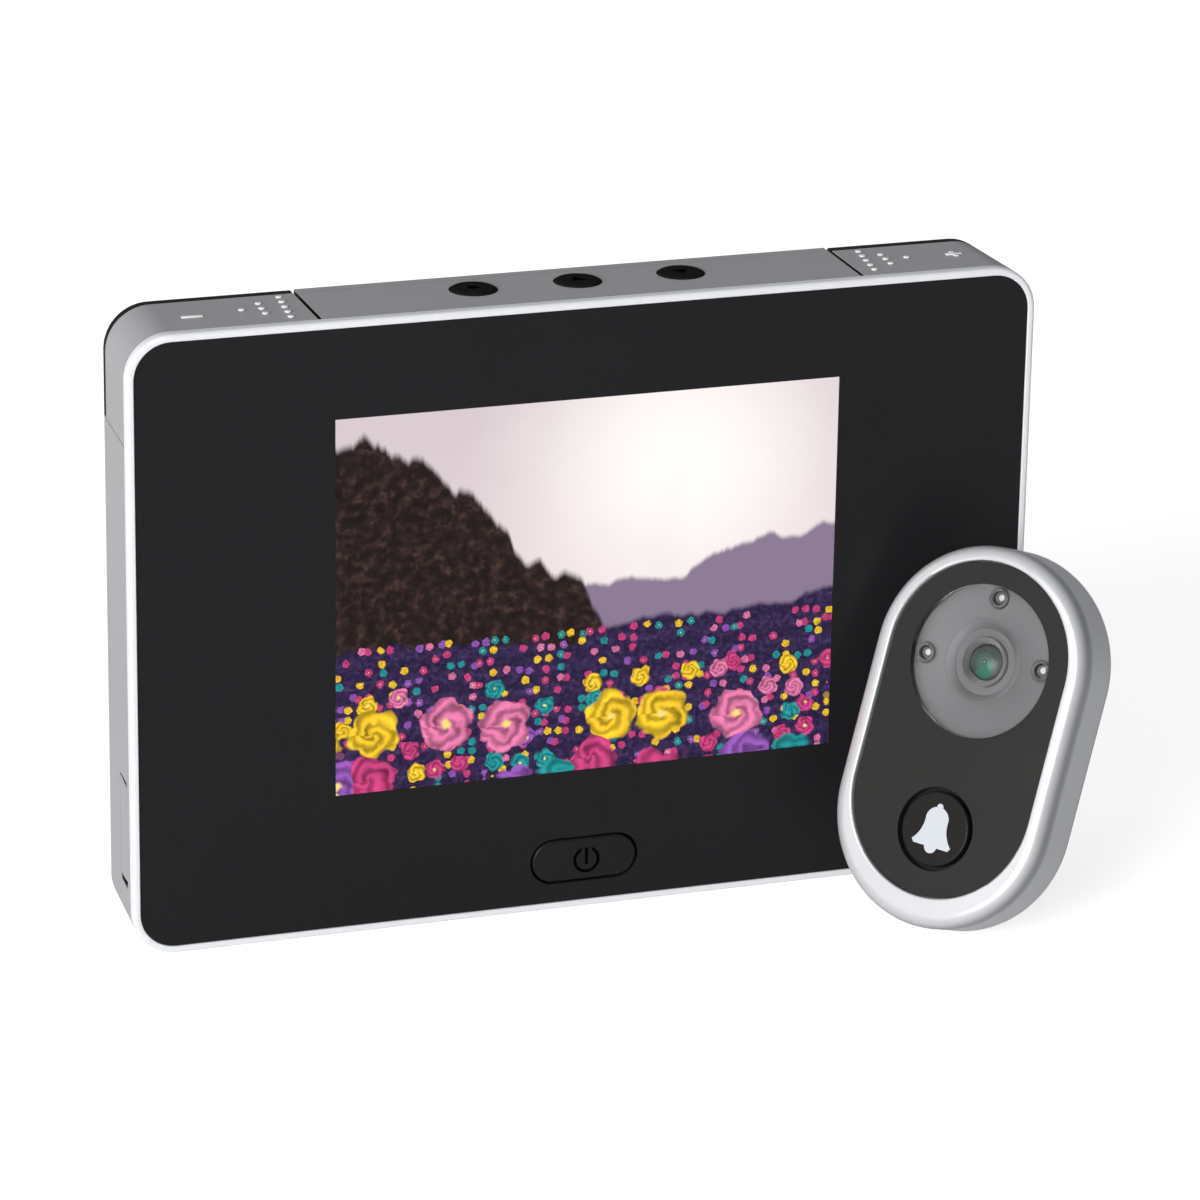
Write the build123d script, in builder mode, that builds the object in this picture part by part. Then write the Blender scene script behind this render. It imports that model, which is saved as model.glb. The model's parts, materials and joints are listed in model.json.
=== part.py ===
from build123d import *
import os

os.makedirs("parts", exist_ok=True)

# Monitor, the unit on the inside of the door. All sizes are in millimetres
corner_radius = 6.0
bezel_depth = 1.6
housing_depth = 12.6
cover_thickness = 2.0
side_draft = 0.8          # how far each side leans in towards the back
back_edge_round = 0.8
monitor_depth = bezel_depth + housing_depth + cover_thickness
cover_front = bezel_depth + housing_depth

# Clearances
fit_gap = 0.05            # pieces that sit in one another
running_gap = 0.15        # covers and keys that move
overrun = 20.0            # how far cuts and trimming blocks run past a piece

# Bezel and front panel
rim_width = 1.0
rim_round = 0.5
rim_inner_round = 0.15
panel_recess = 0.2

# Screen module, whose picture is 3.5 inch with sides of 4 to 3
lcd_width = 76.9
lcd_height = 63.9
lcd_base = 11.96          # height of the module's lower edge
lcd_headroom = 10.14      # from the module's upper edge to the top of the monitor
lcd_side_border = 3.41    # from the module's edges to the picture
lcd_top_border = 3.3
lcd_bottom_border = 8.04
screen_width = lcd_width - 2 * lcd_side_border
screen_height = lcd_height - lcd_top_border - lcd_bottom_border
screen_base = lcd_base + lcd_bottom_border
monitor_height = lcd_base + lcd_height + lcd_headroom
lcd_thickness = 1.3
backlight_thickness = 2.3
window_recess = 0.05
ribbon_width = 16.0
ribbon_thickness = 0.3
ribbon_drop = 0.8
ribbon_place = 22.0       # middle of the ribbon, right of the screen's middle
ribbon_connector_height = 3.0
ribbon_connector_depth = 1.2
ribbon_rise = 4.0

# Housing walls
web_thickness = 1.0       # front wall behind the panel
side_wall = 1.2           # at the back edge
bottom_wall = 1.6
top_wall = 2.4
cavity_radius = 4.0
tongue_thickness = 1.6    # the top bar's lip over the rear cover
tongue_length = 1.6
slot_gap = 0.6            # slots at the ends of the top bar
top_shift = 0.95          # the top bar sits this far right of the middle

# Battery caps and bays. Each bay holds two AAA cells beside the screen module
cap_wall = 1.4
cap_inner_radius = 3.0
cap_drop = 15.0
cap_lap = 2.3             # how far the top of a cap reaches in past its bay
guide_rib_width = 0.6
guide_rib_drop = 1.2
bay_wall = 0.8
bay_floor = 1.2
bay_gap = 0.65            # between a bay's wall and the screen module
cell_radius = 5.2
cell_length = 43.5
cell_nub_radius = 1.9
cell_nub_length = 1.0
cell_shoulder = 0.4
cell_gap = 0.1
bay_width = 4 * cell_radius + 3 * cell_gap
bay_inner = lcd_width / 2 + bay_gap + bay_wall
cavity_reach = bay_inner + bay_width
monitor_width = 2 * (cavity_reach + side_wall + side_draft)
slot_reach = bay_inner - cap_lap
contact_plate = 0.3
cap_dimple_radius = 1.5
cap_dimple_drop = 1.0
cap_contact_gap = 0.3
floor_contact_radius = 2.4
floor_contact_rise = 0.9
contact_border = 2.6

# Keys on the top bar
key_radius = 3.15
key_pitch = 14.5
key_depth = 9.4           # middle of the keys behind the front
key_rise = 0.3
key_round = 0.5
key_flange = 0.9
key_flange_thickness = 0.8
key_travel = 0.5
flange_gap = 0.2

# Small push switches
switch_size = 4.6
switch_height = 1.5
plunger_radius = 1.1
plunger_rise = 0.5
plunger_gap = 0.1
key_board_border = 6.5    # beyond the middles of the outer keys
key_board_width = 2 * (key_pitch + key_board_border)
key_board_depth = 9.4
board_thickness = 1.0
ledge_width = 3.0
ledge_height = 1.4

# Power button
power_height = 7.0        # middle of the button above the base
power_length = 14.7
power_width = 5.9
power_gap = 0.35
power_rise = 0.1
power_round = 0.3
power_flange = 0.7
power_travel = 0.5

# Main board and what it carries
main_board_front = 7.0    # depth behind the front
board_base = 2.2
board_border = 0.4
board_headroom = 9.0
board_top = monitor_height - board_headroom
board_boss_inset = 9.9    # from the bays' inner walls
board_boss_drop = 5.0
board_boss_reach = bay_inner - board_boss_inset
board_boss_low = 8.0
board_boss_high = board_top - board_boss_drop
board_boss_radius = 2.0
board_screw_radius = 0.8
board_screw_head = 1.7
board_screw_head_height = 0.9
board_screw_length = 6.0
shield_size = 18.0
shield_thickness = 1.8
shield_round = 0.4
shield_place = (-8.0, 44.0)
socket_width = 9.0
socket_height = 7.0
socket_depth = 5.4
socket_wall = 1.0
socket_opening_depth = 3.6
socket_place = (12.0, 18.0)
socket_window_border = 0.5

# Loudspeaker
speaker_radius = 9.5
speaker_thickness = 4.0
speaker_magnet_radius = 5.5
speaker_magnet_depth = 1.6
speaker_inset = 18.0      # from the side of the cavity
grille_hole_radius = 0.7
grille_pitch = 3.2
grille_ring_holes = 6

# Screws that close the case
case_boss_radius = 2.4
case_boss_inset = 7.0     # lower bosses, from the side of the cavity
case_boss_rise = 5.4
case_boss_slot_gap = 4.6  # upper bosses, from the slots and the top
case_boss_drop = 5.8
case_boss_low = (cavity_reach - case_boss_inset, case_boss_rise)
case_boss_high = (slot_reach - case_boss_slot_gap, monitor_height - case_boss_drop)
case_screw_radius = 0.9
case_screw_length = 8.0
case_screw_head = 1.8
case_screw_head_height = 1.0
case_hole_gap = 0.2

# Tapped holes for the door bracket
bracket_hole_radius = 1.5
bracket_spacing_x = 50.0
bracket_spacing_z = 30.0
bracket_height = 44.0

# Port cover on the left side
port_depth = 5.6          # middle of the cover behind the front
port_width = 4.4
port_pivot_height = 22.6
port_drop = 13.2
port_thickness = 1.2
port_round = 1.0
port_pin_radius = 0.4
port_pin_grip = 0.4
nail_notch = 0.9
nail_notch_depth = 0.9
port_block = 0.8
port_block_border = 1.4
card_slot_length = 11.4
card_slot_width = 1.8
card_socket_width = 14.0
card_socket_length = 14.5
card_socket_thickness = 1.8
card_slot_thickness = 1.0
card_slot_depth = 11.0

# Outdoor unit, the camera and bell on the outside of the door
unit_radius = 15.95
unit_straight = 10.2      # half of the straight part of its outline
unit_depth = 9.6          # from the face of the panel to the back
unit_rim_rise = 0.8
unit_rim_round = 1.7
unit_inner_round = 0.25
unit_back_round = 2.5
unit_split = 7.6          # depth of the joint between shell and back
unit_wall = 1.35
unit_panel_radius = 13.45
unit_panel_straight = 9.45
unit_panel_shift = 1.0    # the panel sits this far above the middle of the case
unit_panel_thickness = 1.2
unit_ledge = 0.8
unit_ledge_thickness = 1.0

# How the outdoor unit stands, turned and leaning back before the monitor
unit_x = 46.05
unit_turn = 52.5
unit_lean = 21.0
unit_roll = -2.4
stand_gap = 0.3

# Camera behind the round window
window_radius = 10.4
window_place = 10.55
baffle_radius = 10.5
baffle_thickness = 0.65
lens_holder_radius = 4.7
lens_holder_front = 1.95
lens_barrel_radius = 3.4
lens_front = 1.35
lens_radius = 2.5
lens_dome = 0.7
lens_thickness = 1.1
lens_recess = 0.3
sensor_size = 4.6
sensor_thickness = 0.8
lamp_circle = 8.8
lamp_turn = 6.0           # of the two side lamps about the lens
lamp_radius = 1.0
lamp_collar = 0.25
lamp_front = 1.3
baffle_gap = 0.25

# Bell button
bell_place = -12.8
bell_radius = 5.1
bell_groove = 0.6
bell_rise = 0.1
bell_round = 0.3
bell_flange = 0.9
bell_flange_thickness = 0.85
bell_travel = 0.5
bell_symbol_height = 6.7
bell_symbol_depth = 0.5

# Board, seal, screws and threaded insert of the outdoor unit
unit_board_back = 6.2
unit_board_thickness = 0.8
unit_board_radius = 13.9
unit_back_pocket = 0.8
unit_pocket_radius = 13.8
seal_width = 0.7
seal_thickness = 0.8
unit_boss_radius = 1.9
unit_boss_place = (11.2, -4.5)
unit_screw_radius = 0.7
unit_screw_length = 4.0
unit_screw_head = 1.4
unit_screw_head_height = 0.8
pad_radius = 1.5
pad_reach = 8.0
insert_collar_radius = 6.5
insert_collar_length = 4.0
insert_radius = 5.2
insert_bore_radius = 4.0
insert_sink = 0.6
lead_hole_radius = 2.5

# Upright plane through the front of the monitor, its x to the right and its y up from the base
front_plane = Plane(origin=(0, -monitor_depth / 2, 0), x_dir=(1, 0, 0), z_dir=(0, -1, 0))


def at_depth(depth):
    # plane at a depth behind the front of the monitor, facing the viewer
    return front_plane.offset(-depth)


def at_height(height):
    # level plane at a height above the base, its y measured back from the front
    return Plane(origin=(0, -monitor_depth / 2, height))


def outline_width(depth):
    # width of the drafted case at a depth behind the front
    return monitor_width - 2 * side_draft * (depth - bezel_depth) / (monitor_depth - bezel_depth)


def drafted_case(inset, radius):
    # the whole case behind the bezel, drawn in all round by an inset
    front_reach = outline_width(bezel_depth) / 2 - inset
    back_reach = outline_width(monitor_depth) / 2 - inset
    with BuildPart() as case:
        with BuildSketch(at_height(inset)):
            with BuildLine():
                Polyline(
                    (-front_reach, bezel_depth),
                    (front_reach, bezel_depth),
                    (back_reach, monitor_depth),
                    (-back_reach, monitor_depth),
                    close=True,
                )
            make_face()
        extrude(amount=monitor_height - 2 * inset)
        # the four edges that run from front to back
        fillet(case.edges().filter_by(Axis.X, reverse=True).filter_by(Axis.Z, reverse=True), radius)
    return case.part


def finish(piece, name):
    piece.label = name
    export_step(piece, f"parts/{name}.step")
    print(name, round(piece.volume, 1))


outer_case = drafted_case(0, corner_radius)
cap_core = drafted_case(cap_wall, cap_inner_radius)
ledge_core = drafted_case(cap_wall + running_gap, corner_radius - cap_wall)

# Front bezel
with BuildPart() as front_bezel:
    with BuildSketch(at_depth(0)):
        with Locations((0, monitor_height / 2)):
            RectangleRounded(monitor_width, monitor_height, corner_radius)
            RectangleRounded(
                monitor_width - 2 * rim_width,
                monitor_height - 2 * rim_width,
                corner_radius - rim_width,
                mode=Mode.SUBTRACT,
            )
    extrude(amount=-bezel_depth)
    rim_face = front_bezel.faces().sort_by(Axis.Y)[0]
    fillet(rim_face.outer_wire().edges(), rim_round)
    rim_face = front_bezel.faces().sort_by(Axis.Y)[0]
    fillet(rim_face.inner_wires()[0].edges(), rim_inner_round)
finish(front_bezel.part, "front_bezel")

# Front panel with openings for the screen and the power button
screen_middle = screen_base + screen_height / 2
power_opening_length = power_length + 2 * power_gap
power_opening_width = power_width + 2 * power_gap
with BuildPart() as front_panel:
    with BuildSketch(at_depth(panel_recess)):
        with Locations((0, monitor_height / 2)):
            RectangleRounded(
                monitor_width - 2 * (rim_width + fit_gap),
                monitor_height - 2 * (rim_width + fit_gap),
                corner_radius - rim_width - fit_gap,
            )
        with Locations((0, screen_middle)):
            Rectangle(screen_width + 2 * fit_gap, screen_height + 2 * fit_gap, mode=Mode.SUBTRACT)
        with Locations((0, power_height)):
            SlotOverall(power_opening_length, power_opening_width, mode=Mode.SUBTRACT)
    extrude(amount=-(bezel_depth - panel_recess))
finish(front_panel.part, "front_panel")

with BuildPart() as screen_window:
    with BuildSketch(at_depth(panel_recess + window_recess)):
        with Locations((0, screen_middle)):
            Rectangle(screen_width, screen_height)
    extrude(amount=-(bezel_depth - panel_recess - window_recess))
finish(screen_window.part, "screen_window")

# Screen module, flat against the back of the panel
lcd_middle = lcd_base + lcd_height / 2
lcd_back = bezel_depth + lcd_thickness
with BuildPart() as lcd_panel:
    with BuildSketch(at_depth(bezel_depth)):
        with Locations((0, lcd_middle)):
            Rectangle(lcd_width, lcd_height)
    extrude(amount=-lcd_thickness)
finish(lcd_panel.part, "lcd_panel")

with BuildPart() as lcd_backlight:
    with BuildSketch(at_depth(lcd_back)):
        with Locations((0, lcd_middle)):
            Rectangle(lcd_width, lcd_height)
    extrude(amount=-backlight_thickness)
finish(lcd_backlight.part, "lcd_backlight")

# Ribbon: down from the edge of the backlight, back, and up into its connector
ribbon_front = lcd_back + backlight_thickness / 2
ribbon_back = main_board_front - ribbon_connector_depth / 2
ribbon_floor = lcd_base - ribbon_drop
ribbon_top = ribbon_floor + ribbon_rise
side_plane = Plane(
    origin=(ribbon_place - ribbon_width / 2, -monitor_depth / 2, 0), x_dir=(0, 1, 0), z_dir=(1, 0, 0)
)
with BuildPart() as lcd_ribbon:
    with BuildSketch(side_plane):
        with BuildLine():
            Polyline(
                (ribbon_front, lcd_base),
                (ribbon_front, ribbon_floor),
                (ribbon_back, ribbon_floor),
                (ribbon_back, ribbon_top),
                (ribbon_back - ribbon_thickness, ribbon_top),
                (ribbon_back - ribbon_thickness, ribbon_floor + ribbon_thickness),
                (ribbon_front + ribbon_thickness, ribbon_floor + ribbon_thickness),
                (ribbon_front + ribbon_thickness, lcd_base),
                close=True,
            )
        make_face()
    extrude(amount=ribbon_width)
finish(lcd_ribbon.part, "lcd_ribbon")

with BuildPart() as ribbon_connector:
    with BuildSketch(at_depth(main_board_front - ribbon_connector_depth)):
        with Locations((ribbon_place, ribbon_top + ribbon_connector_height / 2)):
            Rectangle(ribbon_width + 2 * ribbon_thickness, ribbon_connector_height)
    extrude(amount=-ribbon_connector_depth)
finish(ribbon_connector.part, "ribbon_connector")

# Middle housing: a tub with a front web, open at the back, and a bay at each side for two cells
web_back = bezel_depth + web_thickness
cavity_height = monitor_height - bottom_wall - top_wall
slot_ends = {"left": top_shift - slot_reach, "right": top_shift + slot_reach}
sides = {"left": -1, "right": 1}
cell_top = monitor_height - cap_wall - contact_plate - cap_dimple_drop - cap_contact_gap
cell_base = cell_top - cell_length - cell_nub_length
bay_base = cell_base - floor_contact_rise - contact_plate
speaker_place = (cavity_reach - speaker_inset, (bay_base - bay_floor) / 2)
cap_foot = monitor_height - cap_drop
partition_height = monitor_height - top_wall - bay_base + bay_floor
port_front = port_depth - port_width / 2
port_face = outline_width(port_depth) / 2
port_pivot_x = -(port_face - port_round)
port_foot = port_pivot_height - port_drop
key_board_top = (
    monitor_height - top_wall - flange_gap - key_flange_thickness - key_travel
    - plunger_gap - plunger_rise - switch_height
)
key_board_middle = web_back + (housing_depth - web_thickness) / 2
key_places = {
    "left_key": top_shift - key_pitch,
    "middle_key": top_shift,
    "right_key": top_shift + key_pitch,
}


def cap_room(side):
    # everything outside the lowered ledge that a battery cap covers
    start = slot_ends[side] - sides[side] * slot_gap / 2
    with BuildPart() as room:
        with BuildSketch(at_depth(bezel_depth)):
            with Locations((start + sides[side] * overrun, cap_foot - running_gap)):
                Rectangle(2 * overrun, overrun, align=(Align.CENTER, Align.MIN))
        extrude(amount=-housing_depth)
        add(ledge_core, mode=Mode.SUBTRACT)
    return room.part


with BuildPart() as mid_housing:
    add(outer_case)
    split(bisect_by=at_depth(cover_front), keep=Keep.TOP)
    with BuildSketch(at_depth(web_back)):
        with Locations((0, bottom_wall + cavity_height / 2)):
            RectangleRounded(2 * cavity_reach, cavity_height, cavity_radius)
    extrude(amount=-(cover_front - web_back), mode=Mode.SUBTRACT)
    # partitions, bay floors, screw bosses and the thick wall round the port
    with BuildSketch(at_depth(web_back)):
        for side in sides.values():
            with Locations((side * (bay_inner - bay_wall / 2), bay_base - bay_floor)):
                Rectangle(bay_wall, partition_height, align=(Align.CENTER, Align.MIN))
            with Locations((side * (bay_inner + cavity_reach) / 2, bay_base - bay_floor / 2)):
                Rectangle(cavity_reach - bay_inner, bay_floor)
            for boss_x, boss_z in (case_boss_low, case_boss_high):
                with Locations((side * boss_x, boss_z)):
                    Circle(case_boss_radius)
                    Circle(case_screw_radius, mode=Mode.SUBTRACT)
    extrude(amount=-(cover_front - web_back))
    with BuildSketch(at_depth(web_back)):
        with Locations((-(cavity_reach - port_block / 2), port_foot - port_block_border)):
            Rectangle(
                port_block,
                port_drop + port_round + 2 * port_block_border,
                align=(Align.CENTER, Align.MIN),
            )
    extrude(amount=-(port_depth + port_width / 2 + port_block_border - web_back))
    # ledges under the key board
    with BuildSketch(at_depth(web_back)):
        with Locations((top_shift, key_board_top - board_thickness)):
            with GridLocations(key_board_width - ledge_width, overrun, 2, 1):
                Rectangle(ledge_width, ledge_height, align=(Align.CENTER, Align.MAX))
    extrude(amount=-(key_board_middle + key_board_depth / 2 - web_back))
    # lip of the top bar over the rear cover
    with BuildSketch(at_depth(cover_front)):
        with Locations((top_shift, monitor_height)):
            Rectangle(2 * slot_reach - slot_gap, tongue_thickness, align=(Align.CENTER, Align.MAX))
    extrude(amount=-tongue_length)
    # openings for the screen module and the power button
    with BuildSketch(at_depth(bezel_depth)):
        with Locations((0, lcd_middle)):
            Rectangle(lcd_width + 2 * running_gap, lcd_height + 2 * running_gap)
        with Locations((0, power_height)):
            SlotOverall(power_opening_length, power_opening_width)
    extrude(amount=-web_thickness, mode=Mode.SUBTRACT)
    # the caps' ledges, then the open tops of the two bays
    for side in sides:
        add(cap_room(side), mode=Mode.SUBTRACT)
    with BuildSketch(at_depth(web_back)):
        for side in sides.values():
            with Locations((side * (bay_inner + overrun / 2 + corner_radius), cap_foot - running_gap)):
                Rectangle(overrun + 2 * corner_radius, overrun, align=(Align.CENTER, Align.MIN))
    extrude(amount=-(cover_front - web_back), mode=Mode.SUBTRACT)
    # holes for the three keys
    with BuildSketch(at_height(monitor_height)):
        for place in key_places.values():
            with Locations((place, key_depth)):
                Circle(key_radius + running_gap)
    extrude(amount=-top_wall, mode=Mode.SUBTRACT)
    # pocket, nail notch, card slot and pin holes of the port cover
    with BuildSketch(at_depth(port_front - running_gap)):
        with Locations((port_pivot_x, port_pivot_height)):
            Circle(port_round + running_gap)
            Rectangle(overrun, port_round + running_gap, align=(Align.MAX, Align.MIN))
        with Locations((-(port_face - port_thickness - running_gap), port_pivot_height)):
            Rectangle(overrun, port_drop + running_gap, align=(Align.MAX, Align.MAX))
    extrude(amount=-(port_width + 2 * running_gap), mode=Mode.SUBTRACT)
    with BuildSketch(at_depth(port_front)):
        with Locations((-(port_face - nail_notch_depth), port_foot)):
            Rectangle(overrun, nail_notch, align=(Align.MAX, Align.MAX))
    extrude(amount=-port_width, mode=Mode.SUBTRACT)
    card_slot_middle = port_foot + card_slot_length / 2 + running_gap
    card_depth = main_board_front - card_socket_thickness / 2
    with BuildSketch(at_depth(card_depth - card_slot_width / 2)):
        with Locations((-cavity_reach, card_slot_middle)):
            Rectangle(2 * port_block + 2 * port_thickness, card_slot_length)
    extrude(amount=-card_slot_width, mode=Mode.SUBTRACT)
    with BuildSketch(at_depth(port_front - port_pin_grip)):
        with Locations((port_pivot_x, port_pivot_height)):
            Circle(port_pin_radius)
    extrude(amount=-(port_width + 2 * port_pin_grip), mode=Mode.SUBTRACT)
finish(mid_housing.part, "mid_housing")

# Rear cover
with BuildPart() as rear_cover:
    add(outer_case)
    split(bisect_by=at_depth(cover_front), keep=Keep.BOTTOM)
    fillet(rear_cover.faces().sort_by(Axis.Y)[-1].edges(), back_edge_round)
    # room for the lip of the top bar
    with BuildSketch(at_depth(cover_front)):
        with Locations((top_shift, monitor_height + overrun)):
            Rectangle(
                2 * slot_reach + slot_gap,
                tongue_thickness + running_gap + overrun,
                align=(Align.CENTER, Align.MAX),
            )
    extrude(amount=-cover_thickness, mode=Mode.SUBTRACT)
    # bosses that carry the main board
    with BuildSketch(at_depth(cover_front)):
        for boss_x in (-board_boss_reach, board_boss_reach):
            for boss_z in (board_boss_low, board_boss_high):
                with Locations((boss_x, boss_z)):
                    Circle(board_boss_radius)
    extrude(amount=cover_front - main_board_front - board_thickness)
    with BuildSketch(at_depth(main_board_front)):
        for boss_x in (-board_boss_reach, board_boss_reach):
            for boss_z in (board_boss_low, board_boss_high):
                with Locations((boss_x, boss_z)):
                    Circle(board_screw_radius)
    extrude(amount=-board_screw_length, mode=Mode.SUBTRACT)
    # case screws, bracket holes, window over the camera socket and grille of the loudspeaker
    with BuildSketch(at_depth(monitor_depth)):
        for side in sides.values():
            for boss_x, boss_z in (case_boss_low, case_boss_high):
                with Locations((side * boss_x, boss_z)):
                    Circle(case_screw_radius + case_hole_gap)
        with Locations((0, bracket_height)):
            with GridLocations(bracket_spacing_x, bracket_spacing_z, 2, 2):
                Circle(bracket_hole_radius)
        with Locations(socket_place):
            Rectangle(socket_width + 2 * socket_window_border, socket_height + 2 * socket_window_border)
        with Locations(speaker_place):
            Circle(grille_hole_radius)
            with PolarLocations(grille_pitch, grille_ring_holes):
                Circle(grille_hole_radius)
    extrude(amount=cover_thickness, mode=Mode.SUBTRACT)
    with BuildSketch(at_depth(monitor_depth)):
        for side in sides.values():
            for boss_x, boss_z in (case_boss_low, case_boss_high):
                with Locations((side * boss_x, boss_z)):
                    Circle(case_screw_head + case_hole_gap)
    extrude(amount=case_screw_head_height + case_hole_gap, mode=Mode.SUBTRACT)
finish(rear_cover.part, "rear_cover")

# Battery caps with their contact plates
for side, way in sides.items():
    start = slot_ends[side] + way * slot_gap / 2
    cap_inner = way * (bay_inner + running_gap)
    rib_length = cavity_reach - corner_radius - bay_inner
    with BuildPart() as battery_cap:
        with BuildSketch(at_depth(bezel_depth + running_gap)):
            with Locations((start + way * overrun, cap_foot)):
                Rectangle(2 * overrun, overrun, align=(Align.CENTER, Align.MIN))
        extrude(amount=-(housing_depth - 2 * running_gap))
        add(outer_case, mode=Mode.INTERSECT)
        add(cap_core, mode=Mode.SUBTRACT)
        # two guide ribs that run along the bay
        for rib_depth in (web_back + running_gap, cover_front - running_gap - guide_rib_width):
            with BuildSketch(at_depth(rib_depth)):
                with Locations((cap_inner + way * rib_length / 2, monitor_height - cap_wall)):
                    Rectangle(rib_length, guide_rib_drop, align=(Align.CENTER, Align.MAX))
            extrude(amount=-guide_rib_width)
    finish(battery_cap.part, f"{side}_battery_cap")

# Cells, contact plates in the caps and contacts on the bay floors
cell_depth = web_back + (cover_front - web_back) / 2
cell_places = {
    "inner": bay_inner + cell_gap + cell_radius,
    "outer": bay_inner + 2 * cell_gap + 3 * cell_radius,
}
contact_length = 4 * cell_radius - 2 * contact_border
contact_middle = (cell_places["inner"] + cell_places["outer"]) / 2
for side, way in sides.items():
    for row, place in cell_places.items():
        nub_up = row == "inner"
        body_base = cell_base if nub_up else cell_base + cell_nub_length
        with BuildPart() as cell:
            with BuildSketch(at_height(body_base)):
                with Locations((way * place, cell_depth)):
                    Circle(cell_radius)
            extrude(amount=cell_length)
            fillet(cell.edges().filter_by(GeomType.CIRCLE), cell_shoulder)
            with BuildSketch(at_height(cell_base)):
                with Locations((way * place, cell_depth)):
                    Circle(cell_nub_radius)
            extrude(amount=cell_length + cell_nub_length)
        finish(cell.part, f"{side}_{row}_cell")

    with BuildPart() as cap_contact:
        with BuildSketch(at_height(monitor_height - cap_wall)):
            with Locations((way * contact_middle, cell_depth)):
                Rectangle(contact_length, cell_radius + contact_border)
        extrude(amount=-contact_plate)
        with BuildSketch(at_height(monitor_height - cap_wall - contact_plate)):
            for place in cell_places.values():
                with Locations((way * place, cell_depth)):
                    Circle(cap_dimple_radius)
        extrude(amount=-cap_dimple_drop)
    finish(cap_contact.part, f"{side}_cap_contact")

    with BuildPart() as bay_contact:
        with BuildSketch(at_height(bay_base)):
            with Locations((way * contact_middle, cell_depth)):
                Rectangle(contact_length, cell_radius + contact_border)
        extrude(amount=contact_plate)
        with BuildSketch(at_height(bay_base + contact_plate)):
            for place in cell_places.values():
                with Locations((way * place, cell_depth)):
                    Circle(floor_contact_radius)
        extrude(amount=floor_contact_rise, taper=floor_contact_rise)
    finish(bay_contact.part, f"{side}_bay_contact")

# Keys and their switches on the key board
key_seat = monitor_height - top_wall - flange_gap
for name, place in key_places.items():
    with BuildPart() as key:
        with BuildSketch(at_height(key_seat - key_flange_thickness)):
            with Locations((place, key_depth)):
                Circle(key_radius + key_flange)
        extrude(amount=key_flange_thickness)
        with BuildSketch(at_height(key_seat)):
            with Locations((place, key_depth)):
                Circle(key_radius)
        extrude(amount=flange_gap + top_wall + key_rise)
        fillet(key.faces().sort_by(Axis.Z)[-1].edges(), key_round)
    finish(key.part, name)

    with BuildPart() as key_switch:
        with BuildSketch(at_height(key_board_top)):
            with Locations((place, key_depth)):
                Rectangle(switch_size, switch_size)
        extrude(amount=switch_height)
        with BuildSketch(at_height(key_board_top + switch_height)):
            with Locations((place, key_depth)):
                Circle(plunger_radius)
        extrude(amount=plunger_rise)
    finish(key_switch.part, f"{name}_switch")

with BuildPart() as key_board:
    with BuildSketch(at_height(key_board_top)):
        with Locations((top_shift, key_board_middle)):
            Rectangle(key_board_width, key_board_depth)
    extrude(amount=-board_thickness)
finish(key_board.part, "key_board")

# Power button and its switch
flange_front = web_back + flange_gap
with BuildPart() as power_button:
    with BuildSketch(at_depth(panel_recess - power_rise)):
        with Locations((0, power_height)):
            SlotOverall(power_length, power_width)
    extrude(amount=-(flange_front - panel_recess + power_rise))
    fillet(power_button.faces().sort_by(Axis.Y)[0].edges(), power_round)
    with BuildSketch(at_depth(flange_front)):
        with Locations((0, power_height)):
            SlotOverall(power_length + 2 * power_flange, power_width + 2 * power_flange)
    extrude(amount=-key_flange_thickness)
finish(power_button.part, "power_button")

plunger_front = flange_front + key_flange_thickness + power_travel + plunger_gap
with BuildPart() as power_switch:
    with BuildSketch(at_depth(plunger_front)):
        with Locations((0, power_height)):
            Circle(plunger_radius)
    extrude(amount=-plunger_rise)
    with BuildSketch(at_depth(plunger_front + plunger_rise)):
        with Locations((0, power_height)):
            Rectangle(switch_size, switch_size)
    extrude(amount=-(main_board_front - plunger_front - plunger_rise))
finish(power_switch.part, "power_switch")

# Main board: narrow between the bays, wide below them
board_reach = cavity_reach - port_block - board_border
board_step = bay_base - bay_floor - board_border
with BuildPart() as main_board:
    with BuildSketch(at_depth(main_board_front)):
        with Locations((0, board_base)):
            RectangleRounded(
                2 * board_reach, board_step - board_base, cavity_radius, align=(Align.CENTER, Align.MIN)
            )
            Rectangle(
                2 * (bay_inner - bay_wall - board_border),
                board_top - board_base,
                align=(Align.CENTER, Align.MIN),
            )
        for side in sides.values():
            with Locations((side * case_boss_low[0], case_boss_low[1])):
                Circle(case_boss_radius + running_gap, mode=Mode.SUBTRACT)
        for boss_x in (-board_boss_reach, board_boss_reach):
            for boss_z in (board_boss_low, board_boss_high):
                with Locations((boss_x, boss_z)):
                    Circle(board_screw_radius, mode=Mode.SUBTRACT)
    extrude(amount=-board_thickness)
finish(main_board.part, "main_board")

with BuildPart() as board_screws:
    for boss_x in (-board_boss_reach, board_boss_reach):
        for boss_z in (board_boss_low, board_boss_high):
            with BuildSketch(at_depth(main_board_front - board_screw_head_height)):
                with Locations((boss_x, boss_z)):
                    Circle(board_screw_head)
            extrude(amount=-board_screw_head_height)
            with BuildSketch(at_depth(main_board_front)):
                with Locations((boss_x, boss_z)):
                    Circle(board_screw_radius)
            extrude(amount=-board_screw_length)
finish(board_screws.part, "board_screws")

board_back = main_board_front + board_thickness
with BuildPart() as processor_shield:
    with BuildSketch(at_depth(board_back)):
        with Locations(shield_place):
            Rectangle(shield_size, shield_size)
    extrude(amount=-shield_thickness)
    fillet(processor_shield.faces().sort_by(Axis.Y)[-1].edges(), shield_round)
finish(processor_shield.part, "processor_shield")

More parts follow.
